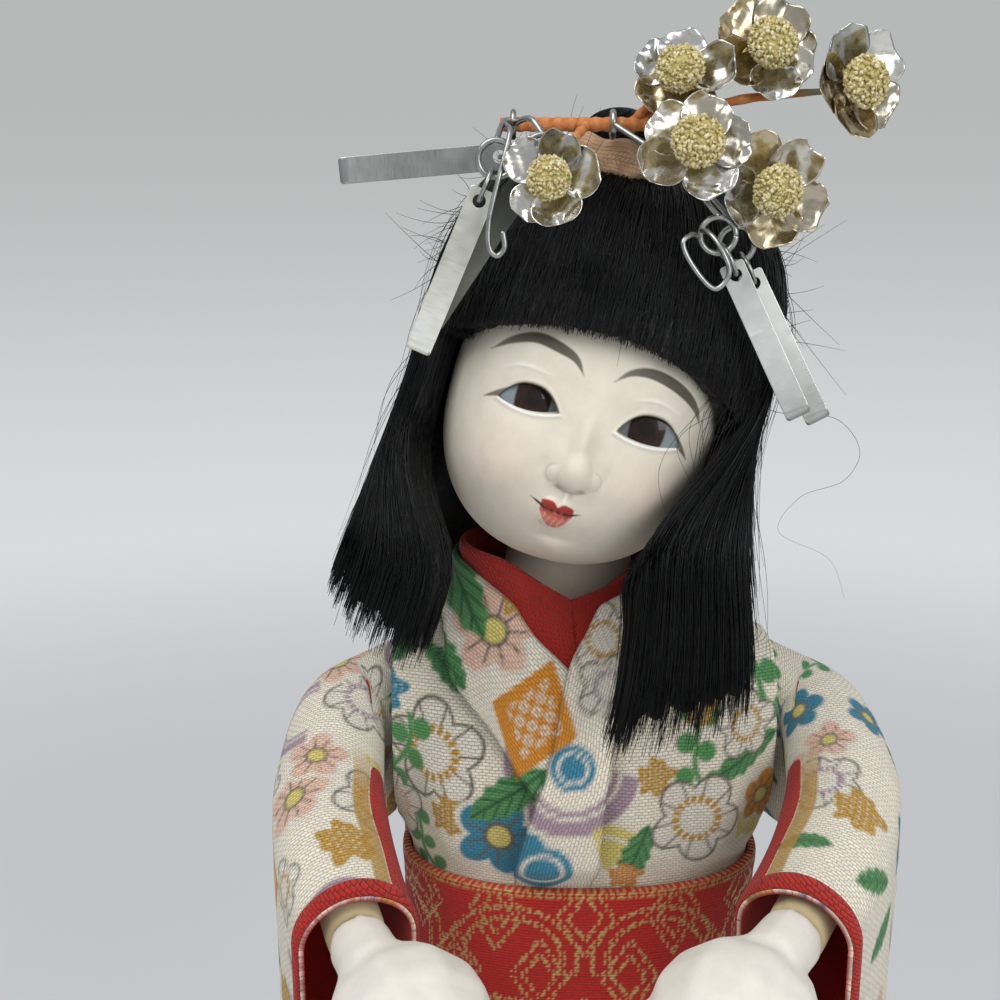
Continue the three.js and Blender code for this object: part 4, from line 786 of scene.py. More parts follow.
def motif(kind, x, y, blur, ink):
    """Layers of one printed figure, drawn about its middle within one unit: pairs of cover and colour."""
    r = np.hypot(x, y)
    turn = np.arctan2(x, y)

    def cover(distance):
        return np.clip(0.5 - distance / blur, 0, 1)

    petals = 0.66 + 0.3 * np.abs(np.cos(2.5 * turn))
    if kind == "leaf":
        blade = np.abs(x) - 0.4 * np.maximum(1 - y * y, 0) ** 0.75 * (1 + 0.1 * np.sin(17 * y)) + 0.02
        veins = np.abs(np.mod(1.5 * np.abs(x) + y, 0.36) - 0.18) - 0.035
        ribs = np.minimum(veins, np.abs(x) - 0.035)
        return [(cover(blade), ink["leaf"]), (cover(np.maximum(blade + 0.04, ribs)), ink["leaf_dark"])]
    if kind == "blossom":
        rays = np.maximum(np.abs(np.mod(turn * 5 / np.pi, 1) - 0.5) * r - 0.035, r - 0.62)
        return [(cover(r - petals), ink["white"]), (cover(r - petals + 0.12), ink["main"]),
                (cover(rays), ink["line"]), (cover(r - 0.24), ink["yellow"]),
                (cover(np.abs(r - 0.26) - 0.035), ink["line"])]
    if kind == "outline":
        rim = np.abs(r - petals) - 0.035
        dashes = np.maximum(np.abs(r - 0.42) - 0.08, 0.16 - np.abs(np.mod(turn * 9 / np.pi, 1) - 0.5))
        rays = np.maximum(np.abs(np.mod(turn * 5 / np.pi, 1) - 0.5) * r - 0.03, np.abs(r - 0.7) - 0.22)
        return [(cover(r - petals), ink["white"]), (cover(rays), ink["line"]), (cover(dashes), ink["main"]),
                (cover(rim), ink["line"])]
    if kind == "disc":
        return [(cover(r - 1), ink["main"]), (cover(np.abs(r - 0.66) - 0.07), ink["white"])]
    if kind == "arc":
        ring = np.maximum(np.abs(r - 0.8) - 0.2, -(y + 0.2))
        return [(cover(ring), ink["main"]),
                (cover(np.maximum(np.abs(r - 0.72) - 0.03, -(y + 0.2))), ink["white"])]
    if kind == "diamond":
        lozenge = np.abs(x) / 0.75 + np.abs(y) - 1
        dots = np.hypot(np.mod(x * 4.4 + 0.5, 1) - 0.5, np.mod(y * 4.4, 1) - 0.5) / 4.4
        return [(cover(lozenge), ink["main"]),
                (cover(np.maximum(np.abs(dots - 0.06) - 0.022, lozenge + 0.35)), ink["white"])]
    if kind == "wedge":
        fan = np.maximum(r - 1, np.abs(turn) - 0.55)
        return [(cover(fan), ink["main"]),
                (cover(np.maximum(np.abs(r - 0.75) - 0.04, np.abs(turn) - 0.5)), ink["white"])]
    if kind == "sprig":
        stem = np.abs(x - 0.18 * np.sin(3 * y)) - 0.05
        lobes = [np.hypot(x - 0.18 * math.sin(3 * k) - side * 0.2, y - k) - 0.17
                 for k, side in zip(np.linspace(-0.75, 0.8, 7), (1, -1, 1, -1, 1, -1, 1))]
        fronds = np.minimum.reduce([np.maximum(stem, np.abs(y) - 0.95), *lobes])
        return [(cover(fronds), ink["main"]),
                (cover(np.maximum(fronds + 0.07, np.abs(stem) - 0.02)), ink["leaf_dark"])]
    if kind == "ochre_cloud":
        blot = r - 0.72 - 0.1 * np.sin(5 * turn + 1) - 0.09 * np.sin(8 * turn + 2.6) - 0.18 * x
        specks = np.hypot(np.mod(x * 4.5, 1) - 0.5,
                          np.mod(y * 4.5 + 0.5 * np.floor(x * 4.5), 1) - 0.5) - 0.16
        return [(cover(blot), ink["main"]), (cover(np.maximum(specks / 4.5, blot + 0.2)), ink["white"])]
    raise ValueError(kind)


PRINT_KINDS = (
    ("leaf", "leaf"), ("blossom", "pink"), ("outline", "ochre"), ("disc", "blue"), ("sprig", "leaf"),
    ("diamond", "orange"), ("arc", "mauve"), ("wedge", "yellow"), ("blossom", "blue"),
    ("ochre_cloud", "ochre"), ("leaf", "leaf"), ("outline", "mauve"),
)
# Figures on the chest: kind, colour, distance from the middle, height above the obi, size, degrees
CHEST_PRINT = (
    ("blossom", "pink", -15, 42.5, 8.5, 0), ("leaf", "leaf", -21, 49, 9, -30),
    ("ochre_cloud", "ochre", -11, 48, 4.5, 0), ("arc", "mauve", -2.5, 22.5, 11, 200),
    ("outline", "ochre", -25.5, 23.5, 9.5, 0), ("ochre_cloud", "ochre", -23.5, 13, 4.5, 0),
    ("blossom", "blue", -14.5, 10, 9, 20), ("disc", "blue", -7.3, 5, 5, 0),
    ("leaf", "leaf", -13, 17.5, 8, 55), ("leaf", "leaf", -33, 40, 7, 60),
    ("leaf", "leaf", -23, 38, 6, -35), ("ochre_cloud", "blue", -35, 33, 5, 0),
    ("diamond", "orange", -8.5, 29.5, 9.5, 18), ("disc", "blue", -2.5, 22.6, 3.6, 0),
    ("wedge", "yellow", 3, 4, 9, 15), ("leaf", "leaf", 8, 7, 6.5, 20),
    ("ochre_cloud", "orange", 6, 3, 3.6, 0), ("ochre_cloud", "ochre", 10.6, 21, 4, 0),
    ("sprig", "leaf", 29, 38, 12, -30), ("sprig", "leaf", 18, 26.5, 10, -20),
    ("leaf", "leaf", 27.5, 23, 7, 65), ("ochre_cloud", "ochre", 18, 31.5, 3.6, 0),
    ("outline", "ochre", 18.5, 13, 8.5, 30), ("outline", "ochre", 27, 28, 6, 0),
    ("outline", "ochre", 2.5, 42, 6, 0), ("outline", "mauve", 3.4, 34.5, 5.5, 20),
    ("sprig", "leaf", -34, 20, 11, 20), ("sprig", "leaf", -30, 7, 9, -35),
    ("ochre_cloud", "yellow", 30, 10, 5, 0), ("blossom", "orange", 33, 14, 6, 10),
    ("outline", "pink", -36, 12, 7, 0),
)


def scattered(width, height, seed, spacing=11.5, low=0.0):
    """Printed figures over a piece of cloth, about one spacing apart, in a fixed random order."""
    random = np.random.default_rng(seed)
    figures = []
    for row, v in enumerate(np.arange(low, low + height + spacing, spacing)):
        for u in np.arange(-width / 2, width / 2 + spacing, spacing):
            kind, colour = PRINT_KINDS[random.integers(len(PRINT_KINDS))]
            nudge = random.uniform(-0.28, 0.28, 2) * spacing + (row % 2) * np.array((spacing / 2, 0))
            size = random.uniform(4.6, 8.2) * (0.6 if kind == "disc" else 1)
            figures.append((kind, colour, u + nudge[0], v + nudge[1], size, random.uniform(0, 360)))
    return figures


def printed(cloth, figures):
    """Colours of printed cotton at places on the flat cloth."""
    look = bpy.context.scene.doll_cloth
    inks = {key: np.array(getattr(look, key)) for key in DollClothColours.__annotations__}
    flat = cloth.reshape(-1, 2)
    colours = np.tile(inks["ground"], (len(flat), 1))
    for kind, colour, u, v, size, degrees in figures:
        near = np.flatnonzero((np.abs(flat[:, 0] - u) < 1.1 * size) & (np.abs(flat[:, 1] - v) < 1.1 * size))
        if not len(near):
            continue
        away = (flat[near] - (u, v)) / size
        c, s = math.cos(math.radians(degrees)), math.sin(math.radians(degrees))
        x, y = away[:, 0] * c - away[:, 1] * s, away[:, 0] * s + away[:, 1] * c
        for cover, ink in motif(kind, x, y, 0.5 / size, {**inks, "main": inks[colour]}):
            colours[near] = mix(colours[near], ink, cover[:, None])
    return colours.reshape(*cloth.shape[:-1], 3)


def kimono_cotton():
    """The kimono's coarse cotton, one material for all its pieces: threads 0.54 mm apart."""
    name = "coarse printed cotton"
    return bpy.data.materials.get(name) or woven_cloth(name, 2 * THREAD_STEP, THREAD_STEP)


def lining_cotton():
    """Plain red lining cloth, finer than the kimono's cotton."""
    red = tuple(bpy.context.scene.doll_cloth.red)
    name = "red lining cotton"
    return bpy.data.materials.get(name) or woven_cloth(name, 0.7, 0.36, red, depth=0.1)


def bodice_swell(angle, z):
    """Soft folds of the bodice: it blouses over the obi, with slanting creases from the shoulders."""
    rise = ease(OBI_TOP, OBI_TOP + 6, z) * (1 - ease(OBI_TOP + 14, ARM_Z, z))
    blouse = rise * (0.9 * np.sin(7 * angle) ** 2 + 0.5)
    slant = np.sin(9 * np.abs(angle) + 0.16 * (z - OBI_TOP)) * ease(0.35, 0.9, np.abs(angle))
    return blouse + 0.45 * slant * ease(OBI_TOP, OBI_TOP + 8, z) * (1 - ease(chest_z(0.6), chest_z(0.8), z))


def make_bodice():
    angle = np.linspace(-np.pi, np.pi, BODICE_COLUMNS)
    z = np.concatenate([np.linspace(OBI_Z + OBI_HEIGHT / 2, OBI_TOP, TUCKED_ROWS)[:-1],
                        np.linspace(OBI_TOP, NECK_Z, 130)])
    angle, z = np.meshgrid(angle, z)
    outer = body_points(BODY_ROWS, angle, z, 0, bodice_swell(angle, z))
    outer[..., 0] = np.clip(outer[..., 0], 0.05 - SEAM_X, SEAM_X - 0.05)
    flat = along_cloth(outer, BODICE_COLUMNS // 2)
    flat[..., 1] -= flat[TUCKED_ROWS - 2, 0, 1]
    behind = [one for one in scattered(200, CHEST_HEIGHT, 3) if abs(one[2]) > 40]
    form = Form()
    form.add_grid(outer, colour=printed(flat, behind + list(CHEST_PRINT)), cloth=flat)
    piece = form.make("kimono_bodice_cloth", [kimono_cotton()], "kimono_bodice")


def skirt_swell(angle, z):
    """The wrapped front steps over the other side, and long folds fall from the waist."""
    turn = np.mod(angle + WRAP_ANGLE, 2 * np.pi)
    wrap = ease(0, 0.05, turn) * (1 - ease(2.2, 4.4, turn)) - 1
    fade = 1 - ease(mix(HEM_Z, OBI_Z, 0.5), OBI_Z - 4, z)
    front = 1 - ease(OBI_Z - 14, OBI_Z - 2, z)
    folds = 0.8 * (np.sin(6 * angle + 0.9) ** 2 - 0.5) + 0.22 * np.sin(17 * angle + 0.03 * z)
    return front * WRAP_STEP * wrap + fade * folds


def make_skirt():
    top = OBI_Z + OBI_HEIGHT / 2 - GAP
    angle = np.linspace(-np.pi, np.pi, SKIRT_COLUMNS, endpoint=False)
    angle, z = np.meshgrid(angle, np.linspace(HEM_Z, top, SKIRT_ROWS_UP))
    swell = skirt_swell(angle, z)
    outer = body_points(SKIRT_ROWS, angle, z, 0, swell)
    inner = body_points(SKIRT_ROWS, angle, z, -0.7, swell)
    flat = along_cloth(outer, SKIRT_COLUMNS // 2)
    ink = printed(flat, scattered(220, top - HEM_Z, 11))
    form = Form()
    form.add_slab(outer, inner, True, ink, np.array(bpy.context.scene.doll_cloth.ground), flat)
    piece = form.make("kimono_skirt_cloth", [kimono_cotton()], "kimono_skirt")
    lining_top = mix(HEM_Z, top, LINING_SHARE)
    angle, z = np.meshgrid(angle[0], np.linspace(HEM_Z, lining_top, 30))
    swell = skirt_swell(angle, z)
    face = body_points(SKIRT_ROWS, angle, z, -CLOTH - GAP, swell)
    back = body_points(SKIRT_ROWS, angle, z, -CLOTH - GAP - 0.8, swell)
    form = Form()
    form.add_slab(face, back, True, cloth=along_cloth(face, SKIRT_COLUMNS // 2))
    piece = form.make("skirt_lining_cloth", [lining_cotton()], "skirt_lining")


# Collar edges above the base of the neck: front places (x, height), then nape places (angle, height)
OVER_INNER = (((-9.8, -49), (-8.4, -43), (-3, -22), (0.5, -9), (5.5, 1)),
              ((50, 5.6), (90, 6), (135, 6), (180, 6)))
OVER_OUTER = (((3, -49), (4, -42), (10, -13), (16, -4)), ((76, -3), (100, -5), (135, -6), (180, -6)))
UNDER_INNER = (((6, -20), (1, -12), (-9, 0), (-14, 4.5)), ((-75, 6), (-100, 6), (-140, 6), (-180, 6)))
UNDER_OUTER = (((2, -38), (-7, -26), (-14, -17), (-20, -5)),
               ((-80, -4), (-100, -5), (-135, -6), (-180, -6)))
RED_RIGHT_INNER = (((0, 1), (5, 3), (9, 5.5)), ((62, 7.6), (90, 8), (135, 8), (180, 8)))
RED_RIGHT_OUTER = (((0.5, -16), (8, -10), (14, -2)), ((76, -1), (100, -3), (135, -4), (180, -4)))
RED_LEFT_INNER = (((0, 1), (-5, 4), (-10, 7)), ((-62, 8), (-90, 8), (-135, 8), (-180, 8)))
RED_LEFT_OUTER = (((0.5, -16), (-9, -10), (-18, -1.5)), ((-76, -1), (-100, -3), (-135, -4), (-180, -4)))


def collar_edge(edge, count):
    front, nape = edge
    places = [(front_angle(np.array(NECK_SHIFT + x), np.array(NECK_Z + z)), NECK_Z + z) for x, z in front]
    places += [(math.radians(a), NECK_Z + z) for a, z in nape]
    scale = np.array((20, 1))
    return smooth_path(np.array(places) * scale, count) / scale


def collar_side(form, inner, outer, low, high, lift, colours=None):
    """One side of a collar: a band between two edges, rounded over its padding."""
    count, across = 260, 34
    a, b = collar_edge(inner, count), collar_edge(outer, count)
    t = np.linspace(0, 1, across)
    place = mix(a[:, None], b[:, None], t[None, :, None])
    angle, z = place[..., 0], place[..., 1]
    padding = 0.35 * np.sqrt(np.clip(1 - (2 * t - 1) ** 6, 0, 1))[None]
    crease = 0.12 * np.sin(np.linspace(0, 40, count))[:, None] * np.sin(np.pi * t)[None]
    front = 1 - ease(math.radians(60), math.radians(110), np.abs(angle))
    swell = bodice_swell(angle, z)
    tucked = 1 - ease(OBI_TOP - 1, OBI_TOP + 7, z)
    top_offset = mix(high + lift * front + padding + crease - 0.35, 0.15, tucked)
    top = body_points(BODY_ROWS, angle, z, top_offset, swell)
    under = body_points(BODY_ROWS, angle, z, mix(low + lift * front, -0.15, tucked), swell)
    flat = along_cloth(top)[..., ::-1]
    if colours is not None:
        seen = np.stack([top[..., 0], top[..., 2] - OBI_TOP], -1)
        # Painted shade: the print is darkened along both edges of the band, where the cloth folds under.
        edge = np.exp(-(np.minimum(t, 1 - t) / 0.035) ** 2)[None, :, None]
        colours = printed(seen, colours) * (1 - 0.4 * edge)
    form.add_slab(top, under, colour=(1, 1, 1) if colours is None else colours, cloth=flat)
    return top


def make_collars():
    form = Form()
    red_low, red_high = GAP, GAP + 1.1
    sizes = [cloth_size(collar_side(form, *edges, red_low, red_high, lift))
             for edges, lift in (((RED_RIGHT_INNER, RED_RIGHT_OUTER), 0),
                                 ((RED_LEFT_INNER, RED_LEFT_OUTER), 0.15))]
    piece = form.make("under_collar_cloth", [red_twill()], "under_collar")
    form = Form()
    low, high = red_high + GAP, red_high + GAP + 1.1
    sizes = [cloth_size(collar_side(form, UNDER_INNER, UNDER_OUTER, low, high, 0, CHEST_PRINT)),
             cloth_size(collar_side(form, OVER_INNER, OVER_OUTER, low + 0.9, high + 0.3, 0.9,
                                    CHEST_PRINT))]
    piece = form.make("kimono_collar_cloth", [kimono_cotton()], "kimono_collar")


LATTICE = (15, 22)
ARC_STEP = (24, 17)
ARC_RADIUS = 9.5
GOLD_THREAD = 0.62
GOLD_DASH = 1.5
DASH_SHARE = 0.36
GOLD_LINE = 0.55
WOVEN_EDGE = (0.9, 1.1)


def brocade_colours(flat, height):
    """Obi weave: rows of short gold dashes along waves and lozenges, and a dashed edge."""
    look = bpy.context.scene.doll_cloth
    u, v = flat[..., 0], flat[..., 1]
    lattice = np.abs(np.mod(u / LATTICE[0] + 0.5, 1)
                     - 0.5) * 2 + np.abs(np.mod(v / LATTICE[1] + 0.25, 1) - 0.5) * 2
    arcs = np.abs(np.hypot(np.mod(u, ARC_STEP[0]) - ARC_STEP[0] / 2, (np.mod(v, ARC_STEP[1]) - 3) * 1.2)
                  - ARC_RADIUS)
    double = np.abs(np.abs(np.mod(lattice, 1) - 0.5) - 0.13)
    lines = np.minimum(double * 9, np.abs(arcs - 1.2))
    dash = np.abs(np.mod(v / GOLD_DASH + 0.5 * np.mod(np.floor(u / GOLD_THREAD), 2), 1) - 0.5) < DASH_SHARE
    thread = np.abs(np.mod(u / GOLD_THREAD, 1) - 0.5) < DASH_SHARE
    gold = (lines < GOLD_LINE) & dash & thread
    rim = ((v > height - WOVEN_EDGE[1]) | (v < WOVEN_EDGE[0])) & thread & dash
    cover = np.clip(gold * 1.0 + rim * 0.8, 0, 1)[..., None]
    colour = mix(np.array(look.obi), np.array(look.gold), cover)
    return np.concatenate([colour, cover], -1)


def make_obi():
    brocade = obi_brocade()
    angle = np.linspace(-np.pi, np.pi, OBI_COLUMNS, endpoint=False)
    angle, z = np.meshgrid(angle, np.linspace(OBI_Z, OBI_TOP, 92))
    edge = np.minimum(z - OBI_Z, OBI_TOP - z)
    swell = 0.25 * np.sin(3 * angle + 0.12 * z) * np.sin(np.pi * (z - OBI_Z) / OBI_HEIGHT)
    swell = swell - 0.5 * np.exp(-edge / 0.6)
    outer = body_points(BODY_ROWS, angle, z, GAP + OBI_WALL, swell)
    flat = along_cloth(outer, OBI_COLUMNS // 2)
    form = Form()
    form.add_slab(outer, body_points(BODY_ROWS, angle, z, GAP, 0), True,
                  brocade_colours(flat, OBI_HEIGHT), cloth=flat)
    piece = form.make("obi_band_cloth", [brocade], "obi_band")
    for side, hand in ((1, "left"), (-1, "right")):
        make_bow(side, hand, brocade)
    low, high = node_box("obi_knot")
    u, v = np.meshgrid(full_turn(160), np.linspace(0.03, np.pi - 0.03, 90))
    way = np.stack([np.sin(v) * np.cos(u), np.sin(v) * np.sin(u), np.cos(v)], -1)
    block = way / (np.abs(way) ** 5).sum(-1, keepdims=True) ** 0.2
    pleats = 0.4 * np.sin(1.7 * block[..., :1] * 7) * (np.abs(block[..., 2:]) < 0.9)
    knot = (low + high) / 2 + block * (high - low) / 2 * 0.985 + way * (pleats - 0.3)
    form = Form()
    form.add_grid(knot, True, brocade_colours(knot[..., [0, 2]], 1e3))
    form.make("obi_knot_cloth", [brocade], "obi_knot")


def make_bow(side, hand, brocade):
    """One drooping loop of the obi's bow, with soft pleats towards the knot."""
    low, high = node_box(f"obi_bow_{hand}")
    inside, reach = (low[0], high[0]) if side > 0 else (-high[0], -low[0])
    middle_y, middle_z = (low[1] + high[1]) / 2, (low[2] + high[2]) / 2
    angle, v = np.meshgrid(full_turn(170), np.linspace(-0.5, 0.5, 90))

    def loop(inset):
        along = 0.5 + 0.5 * np.cos(angle)
        pinch = mix(0.36, 1, ease(0, 0.55, along))
        pleat = 0.5 * np.sin(3 * np.pi * v * 2) * (1 - along) + 0.3 * np.sin(5 * v + 4 * along)
        depth = (6 * pinch - 0.35 - inset) * np.sin(angle) + pleat * np.abs(np.sin(angle))
        tall = mix(0.5, 1, ease(0, 0.8, along)) * BOW_HEIGHT * v
        x = mix(inside + inset, reach - inset, along)
        return np.stack([side * x, middle_y + depth, middle_z + 2 - 4 * along ** 2 + tall], -1)

    outer = loop(0)
    flat = along_cloth(outer)
    form = Form()
    form.add_slab(outer, loop(0.8), True, brocade_colours(flat, BOW_HEIGHT), cloth=flat)
    piece = form.make(f"obi_bow_{hand}_cloth", [brocade], f"obi_bow_{hand}")


# Arms, sleeves and hands


def arm_stations(hand, count):
    """Places along an arm: share of the way, middle, inner side and drop of the sleeve below it."""
    _, bends = ARMS[hand]
    through = [(SEAM_X + GAP, 0, ARM_Z)] + [(x, y, ARM_Z + z) for x, y, z in bends]
    centre = smooth_path(through, count)
    t = np.linspace(0, 1, count)
    level = unit(np.gradient(centre, axis=0) * (1, 1, 0))
    start = np.maximum(0, 1 - 4 * t)[:, None]
    heading = unit(mix(level, np.array((1.0, 0, 0)), start))
    inner = np.stack([heading[:, 1], -heading[:, 0], 0 * t], -1)
    drop = np.interp(t * (len(SLEEVE_DROPS) - 1), range(len(SLEEVE_DROPS)), SLEEVE_DROPS)
    return t, centre, inner, drop


def sleeve_grid(hand, inset):
    side = ARMS[hand][0]
    t, centre, inner, drop = arm_stations(hand, SLEEVE_ROWS)
    turn = np.linspace(0, 1, SLEEVE_COLUMNS, endpoint=False)[None]
    over = np.pi * turn / SLEEVE_OVER
    angle = np.where(turn < SLEEVE_OVER, over, np.pi * (1 + ease(SLEEVE_OVER, 1, turn)))
    across, up = np.cos(angle), np.sin(angle)
    power = np.where(up > 0, 1, 0.62)
    t = t[:, None]
    half = mix(SLEEVE_HALF_TOP, SLEEVE_HALF, ease(0, 0.6, t)) - inset
    wide = half * np.sign(across) * np.abs(across) ** power
    tall = np.where(up > 0, ARM_RADIUS + SLEEVE_EASE + CLOTH - inset, drop[:, None] - inset)
    hang = np.maximum(0, -up)
    fold = 1.1 * np.sin(11 * t + 2.4 * hang) * ease(0, 0.2, t) * hang
    fold = fold + 0.35 * np.sin(23 * t + 5 * hang + 2 * across) * ease(0.05, 0.3, t) * np.abs(up)
    spread = SLEEVE_SPREAD * np.sin(np.pi * t) * hang
    offset = inner[:, None] * (wide * mix(1, 0.75, hang) + fold - spread)[..., None]
    height = tall * np.sign(up) * np.abs(up) ** power
    grid = centre[:, None] + offset
    grid[..., 2] += height
    grid[..., 0] *= side
    return grid


def sleeve_edges(form, hand):
    """Padded red edges: round the mouth of the sleeve and along the side towards the body."""
    puffed, under = sleeve_grid(hand, -0.75), sleeve_grid(hand, 0.05)
    mouth = slice(SLEEVE_ROWS - MOUTH_ROWS, SLEEVE_ROWS)
    swell = np.sin(np.linspace(0.15, np.pi - 0.15, MOUTH_ROWS))[:, None, None] ** 0.5
    form.add_slab(mix(under[mouth], puffed[mouth], swell), under[mouth], True, slots=(2, 2))
    along = slice(SLEEVE_ROWS // 2, SLEEVE_ROWS - 6)
    side = np.arange(1, BAND_END)
    swell = np.sin(np.linspace(0.1, np.pi - 0.1, len(side)))[None, :, None] ** 0.5
    low, high = under[along][:, side], puffed[along][:, side]
    swell = swell * ease(0, 0.4, np.linspace(0, 1, len(low)))[:, None, None]
    band = mix(low - 0.02, high, swell)
    form.add_slab(band, low, False, cloth=along_cloth(band)[..., ::-1], slots=(2, 2))


def make_sleeves():
    red = np.array(bpy.context.scene.doll_cloth.red)
    twill = red_twill()
    for seed, hand in ((21, "left"), (22, "right")):
        outer, inner = sleeve_grid(hand, 0), sleeve_grid(hand, 0.8)
        flat = along_cloth(outer, 30)
        flat[..., 1] *= -1
        ink = printed(flat, scattered(150, 90, seed, low=-90))
        form = Form()
        stripe = np.zeros(ink.shape[:2])
        rows = np.arange(SLEEVE_ROWS - STRIPE_START_ROW)
        stripe[STRIPE_START_ROW:, BAND_END:STRIPE_END] = 0.85 * ease(0, 30, rows)[:, None]
        ink = mix(ink, np.array(bpy.context.scene.doll_cloth.ochre), stripe[..., None])
        form.add_slab(outer, inner, True, ink, red, flat, slots=(0, 1))
        sleeve_edges(form, hand)
        piece = form.make(f"sleeve_{hand}_cloth", [kimono_cotton(), lining_cotton(), twill],
                          f"sleeve_{hand}")


# Head


def egg(way, grow=0):
    depth = np.where(way[..., 1] < 0, FACE_HALF_DEPTH, SKULL_HALF_DEPTH) + grow
    height = np.where(way[..., 2] > 0, SKULL_TOP, CHIN_DROP) + grow
    sizes = np.stack([np.full_like(depth, HEAD_HALF_WIDTH + grow), depth, height], -1)
    total = (np.abs(way / sizes) ** HEAD_FULLNESS).sum(-1, keepdims=True)
    return way * total ** (-1 / HEAD_FULLNESS)


# Soft bumps of the face: x, z, spreads in x and z, height. Those off the middle line come in pairs.
FACE_BUMPS = (
    (0, -3.2, 1.7, 4.6, 1.7), (0, -7.6, 3.4, 2.6, 1.2), (4.9, -7.6, 0.55, 1.6, -0.3),
    (9.4, 0.6, 5, 2.8, -0.8), (11.5, -10.5, 6, 5.5, 1.4), (0, -15, 4.6, 3.2, 1.2),
    (0, -11.6, 0.5, 1.0, -0.3), (0.95, -11.6, 0.45, 1.1, 0.2), (0, -18.8, 2.6, 0.8, -0.4),
    (0, -20.8, 3.6, 2.2, 1.3), (9.5, 8.6, 6, 2.2, 0.5),
)
# Small round swellings of the nose and lips: x, z, radius, height of the top above the face
FACE_BALLS = (
    (0, -8.2, 2.65, 2.95), (0, -6.9, 2.2, 2.5), (-2.75, -8.7, 1.35, 0.8), (2.7, -8.6, 1.35, 0.85),
    (-2.1, -13.55, 1.2, 1.75), (0.1, -13.75, 1.2, 1.75), (-1.7, -15.5, 1.5, 1.95),
    (-0.3, -15.6, 1.5, 1.95),
)
BALL_BLEND = 2.2


def curve_place(x, z, points, count=40):
    """Distance of each place from a drawn curve, and the share of the curve where it is nearest."""
    line = smooth_path([(px, 0, pz) for px, pz in points], count)[:, [0, 2]]
    best = np.full(x.shape, 1e9)
    share = np.zeros(x.shape)
    for k in range(count - 1):
        a, b = line[k], line[k + 1]
        way = b - a
        t = np.clip(((x - a[0]) * way[0] + (z - a[1]) * way[1]) / max(way @ way, 1e-9), 0, 1)
        d = np.hypot(x - a[0] - t * way[0], z - a[1] - t * way[1])
        closer = d < best
        best = np.where(closer, d, best)
        share = np.where(closer, (k + t) / (count - 1), share)
    return best, share


# Each eye: middle, half width, rise of upper lid, fall of lower lid, height of corners, iris middle
EYE_DOME = 10.5
IRIS_HALF = (2.75, 5.5)
IRIS_HEIGHT = 1.1
EYES = {"left": (9.4, 5.0, 3.3, 0.85, -0.3, 9.0), "right": (-9.2, 4.5, 2.95, 0.85, 0.1, -8.7)}


def lids(x, eye):
    """Heights of both lids of an eye at places across the face, and the share of its half width there."""
    middle, half, rise, fall, corner, _ = eye
    s = (x - middle) / half
    return s, corner + rise * (1 - np.abs(s) ** 2.5), corner - fall * (1 - s ** 2)


def eye_opening(x, z):
    """Depth of a place inside the nearer eye opening, in millimetres, below zero outside."""
    depths = []
    for eye in EYES.values():
        s, upper, lower = lids(x, eye)
        depths.append(np.minimum(np.minimum(upper - z, z - lower), (1 - np.abs(s)) * eye[1]))
    return np.maximum(*depths)


BLUSH_PLACE = (12, -9)
BLUSH_SPREAD = 5
BLUSH_COVER = 0.1
BROW_HALF = 0.85
BROW_COVER = 0.95
BRUSH_SOFT = 0.25
CREASE_HALF = 0.3
CREASE_COVER = 0.5
CREASE_HIGHLIGHT = (0.95, 0.92, 0.85)
LOWER_LID_HIGHLIGHT = (0.93, 0.92, 0.88)
LIP_RIM = (0.9, 0.78, 0.7)
LIP_CRACK = (0.85, 0.6, 0.5)
MOUTH_DARK = (0.06, 0.02, 0.016)
PARTING_SHADE = (0.1, 0.02, 0.018)
PHILTRUM_HIGHLIGHT = (0.95, 0.93, 0.88)
WING_PLACE = (2.75, -8.55)
WING_RADIUS = 1.5
NOSTRIL_PLACE = (1.7, -10.4)
NOSTRIL_HALF = (0.9, 0.32)
NOSE_BASE = -11.0
LASH_HALF = 0.8
PUPIL_DARK = (0.004, 0.003, 0.003)
PUPIL_RADIUS = 1.2
BROWS = (
    ((-16.7, 6.6), (-14, 8.7), (-10.5, 10), (-7.1, 9.5), (-4.2, 8.4), (-2.5, 6.4)),
    ((2.1, 6.7), (4.2, 8.5), (6.9, 9.2), (10.3, 8.7), (13.6, 7.3), (15.7, 5.6), (16.9, 3.6)),
)
CREASES = (((-14.7, 4.4), (-11.3, 5.6), (-6.6, 5.1)), ((5.5, 4.8), (9.6, 5.4), (13.7, 4.2)))
LASHES = (((-12.4, 1.1), (-14.2, 0.45), (-16, -0.5)), ((13.1, 0.8), (14.8, -0.5), (16.2, -2)))
MOUTH_LINES = (((-5.3, -13.0), (-4.2, -13.5), (-3, -14.05), (-1.8, -14.35)),
               ((-0.4, -14.5), (1.1, -14.35), (2.7, -13.9)))
PHILTRUM = ((-0.2, -11.3), (-0.35, -12.4))
LIPS_MIDDLE = -1.0
LIPS_HALF = 2.55


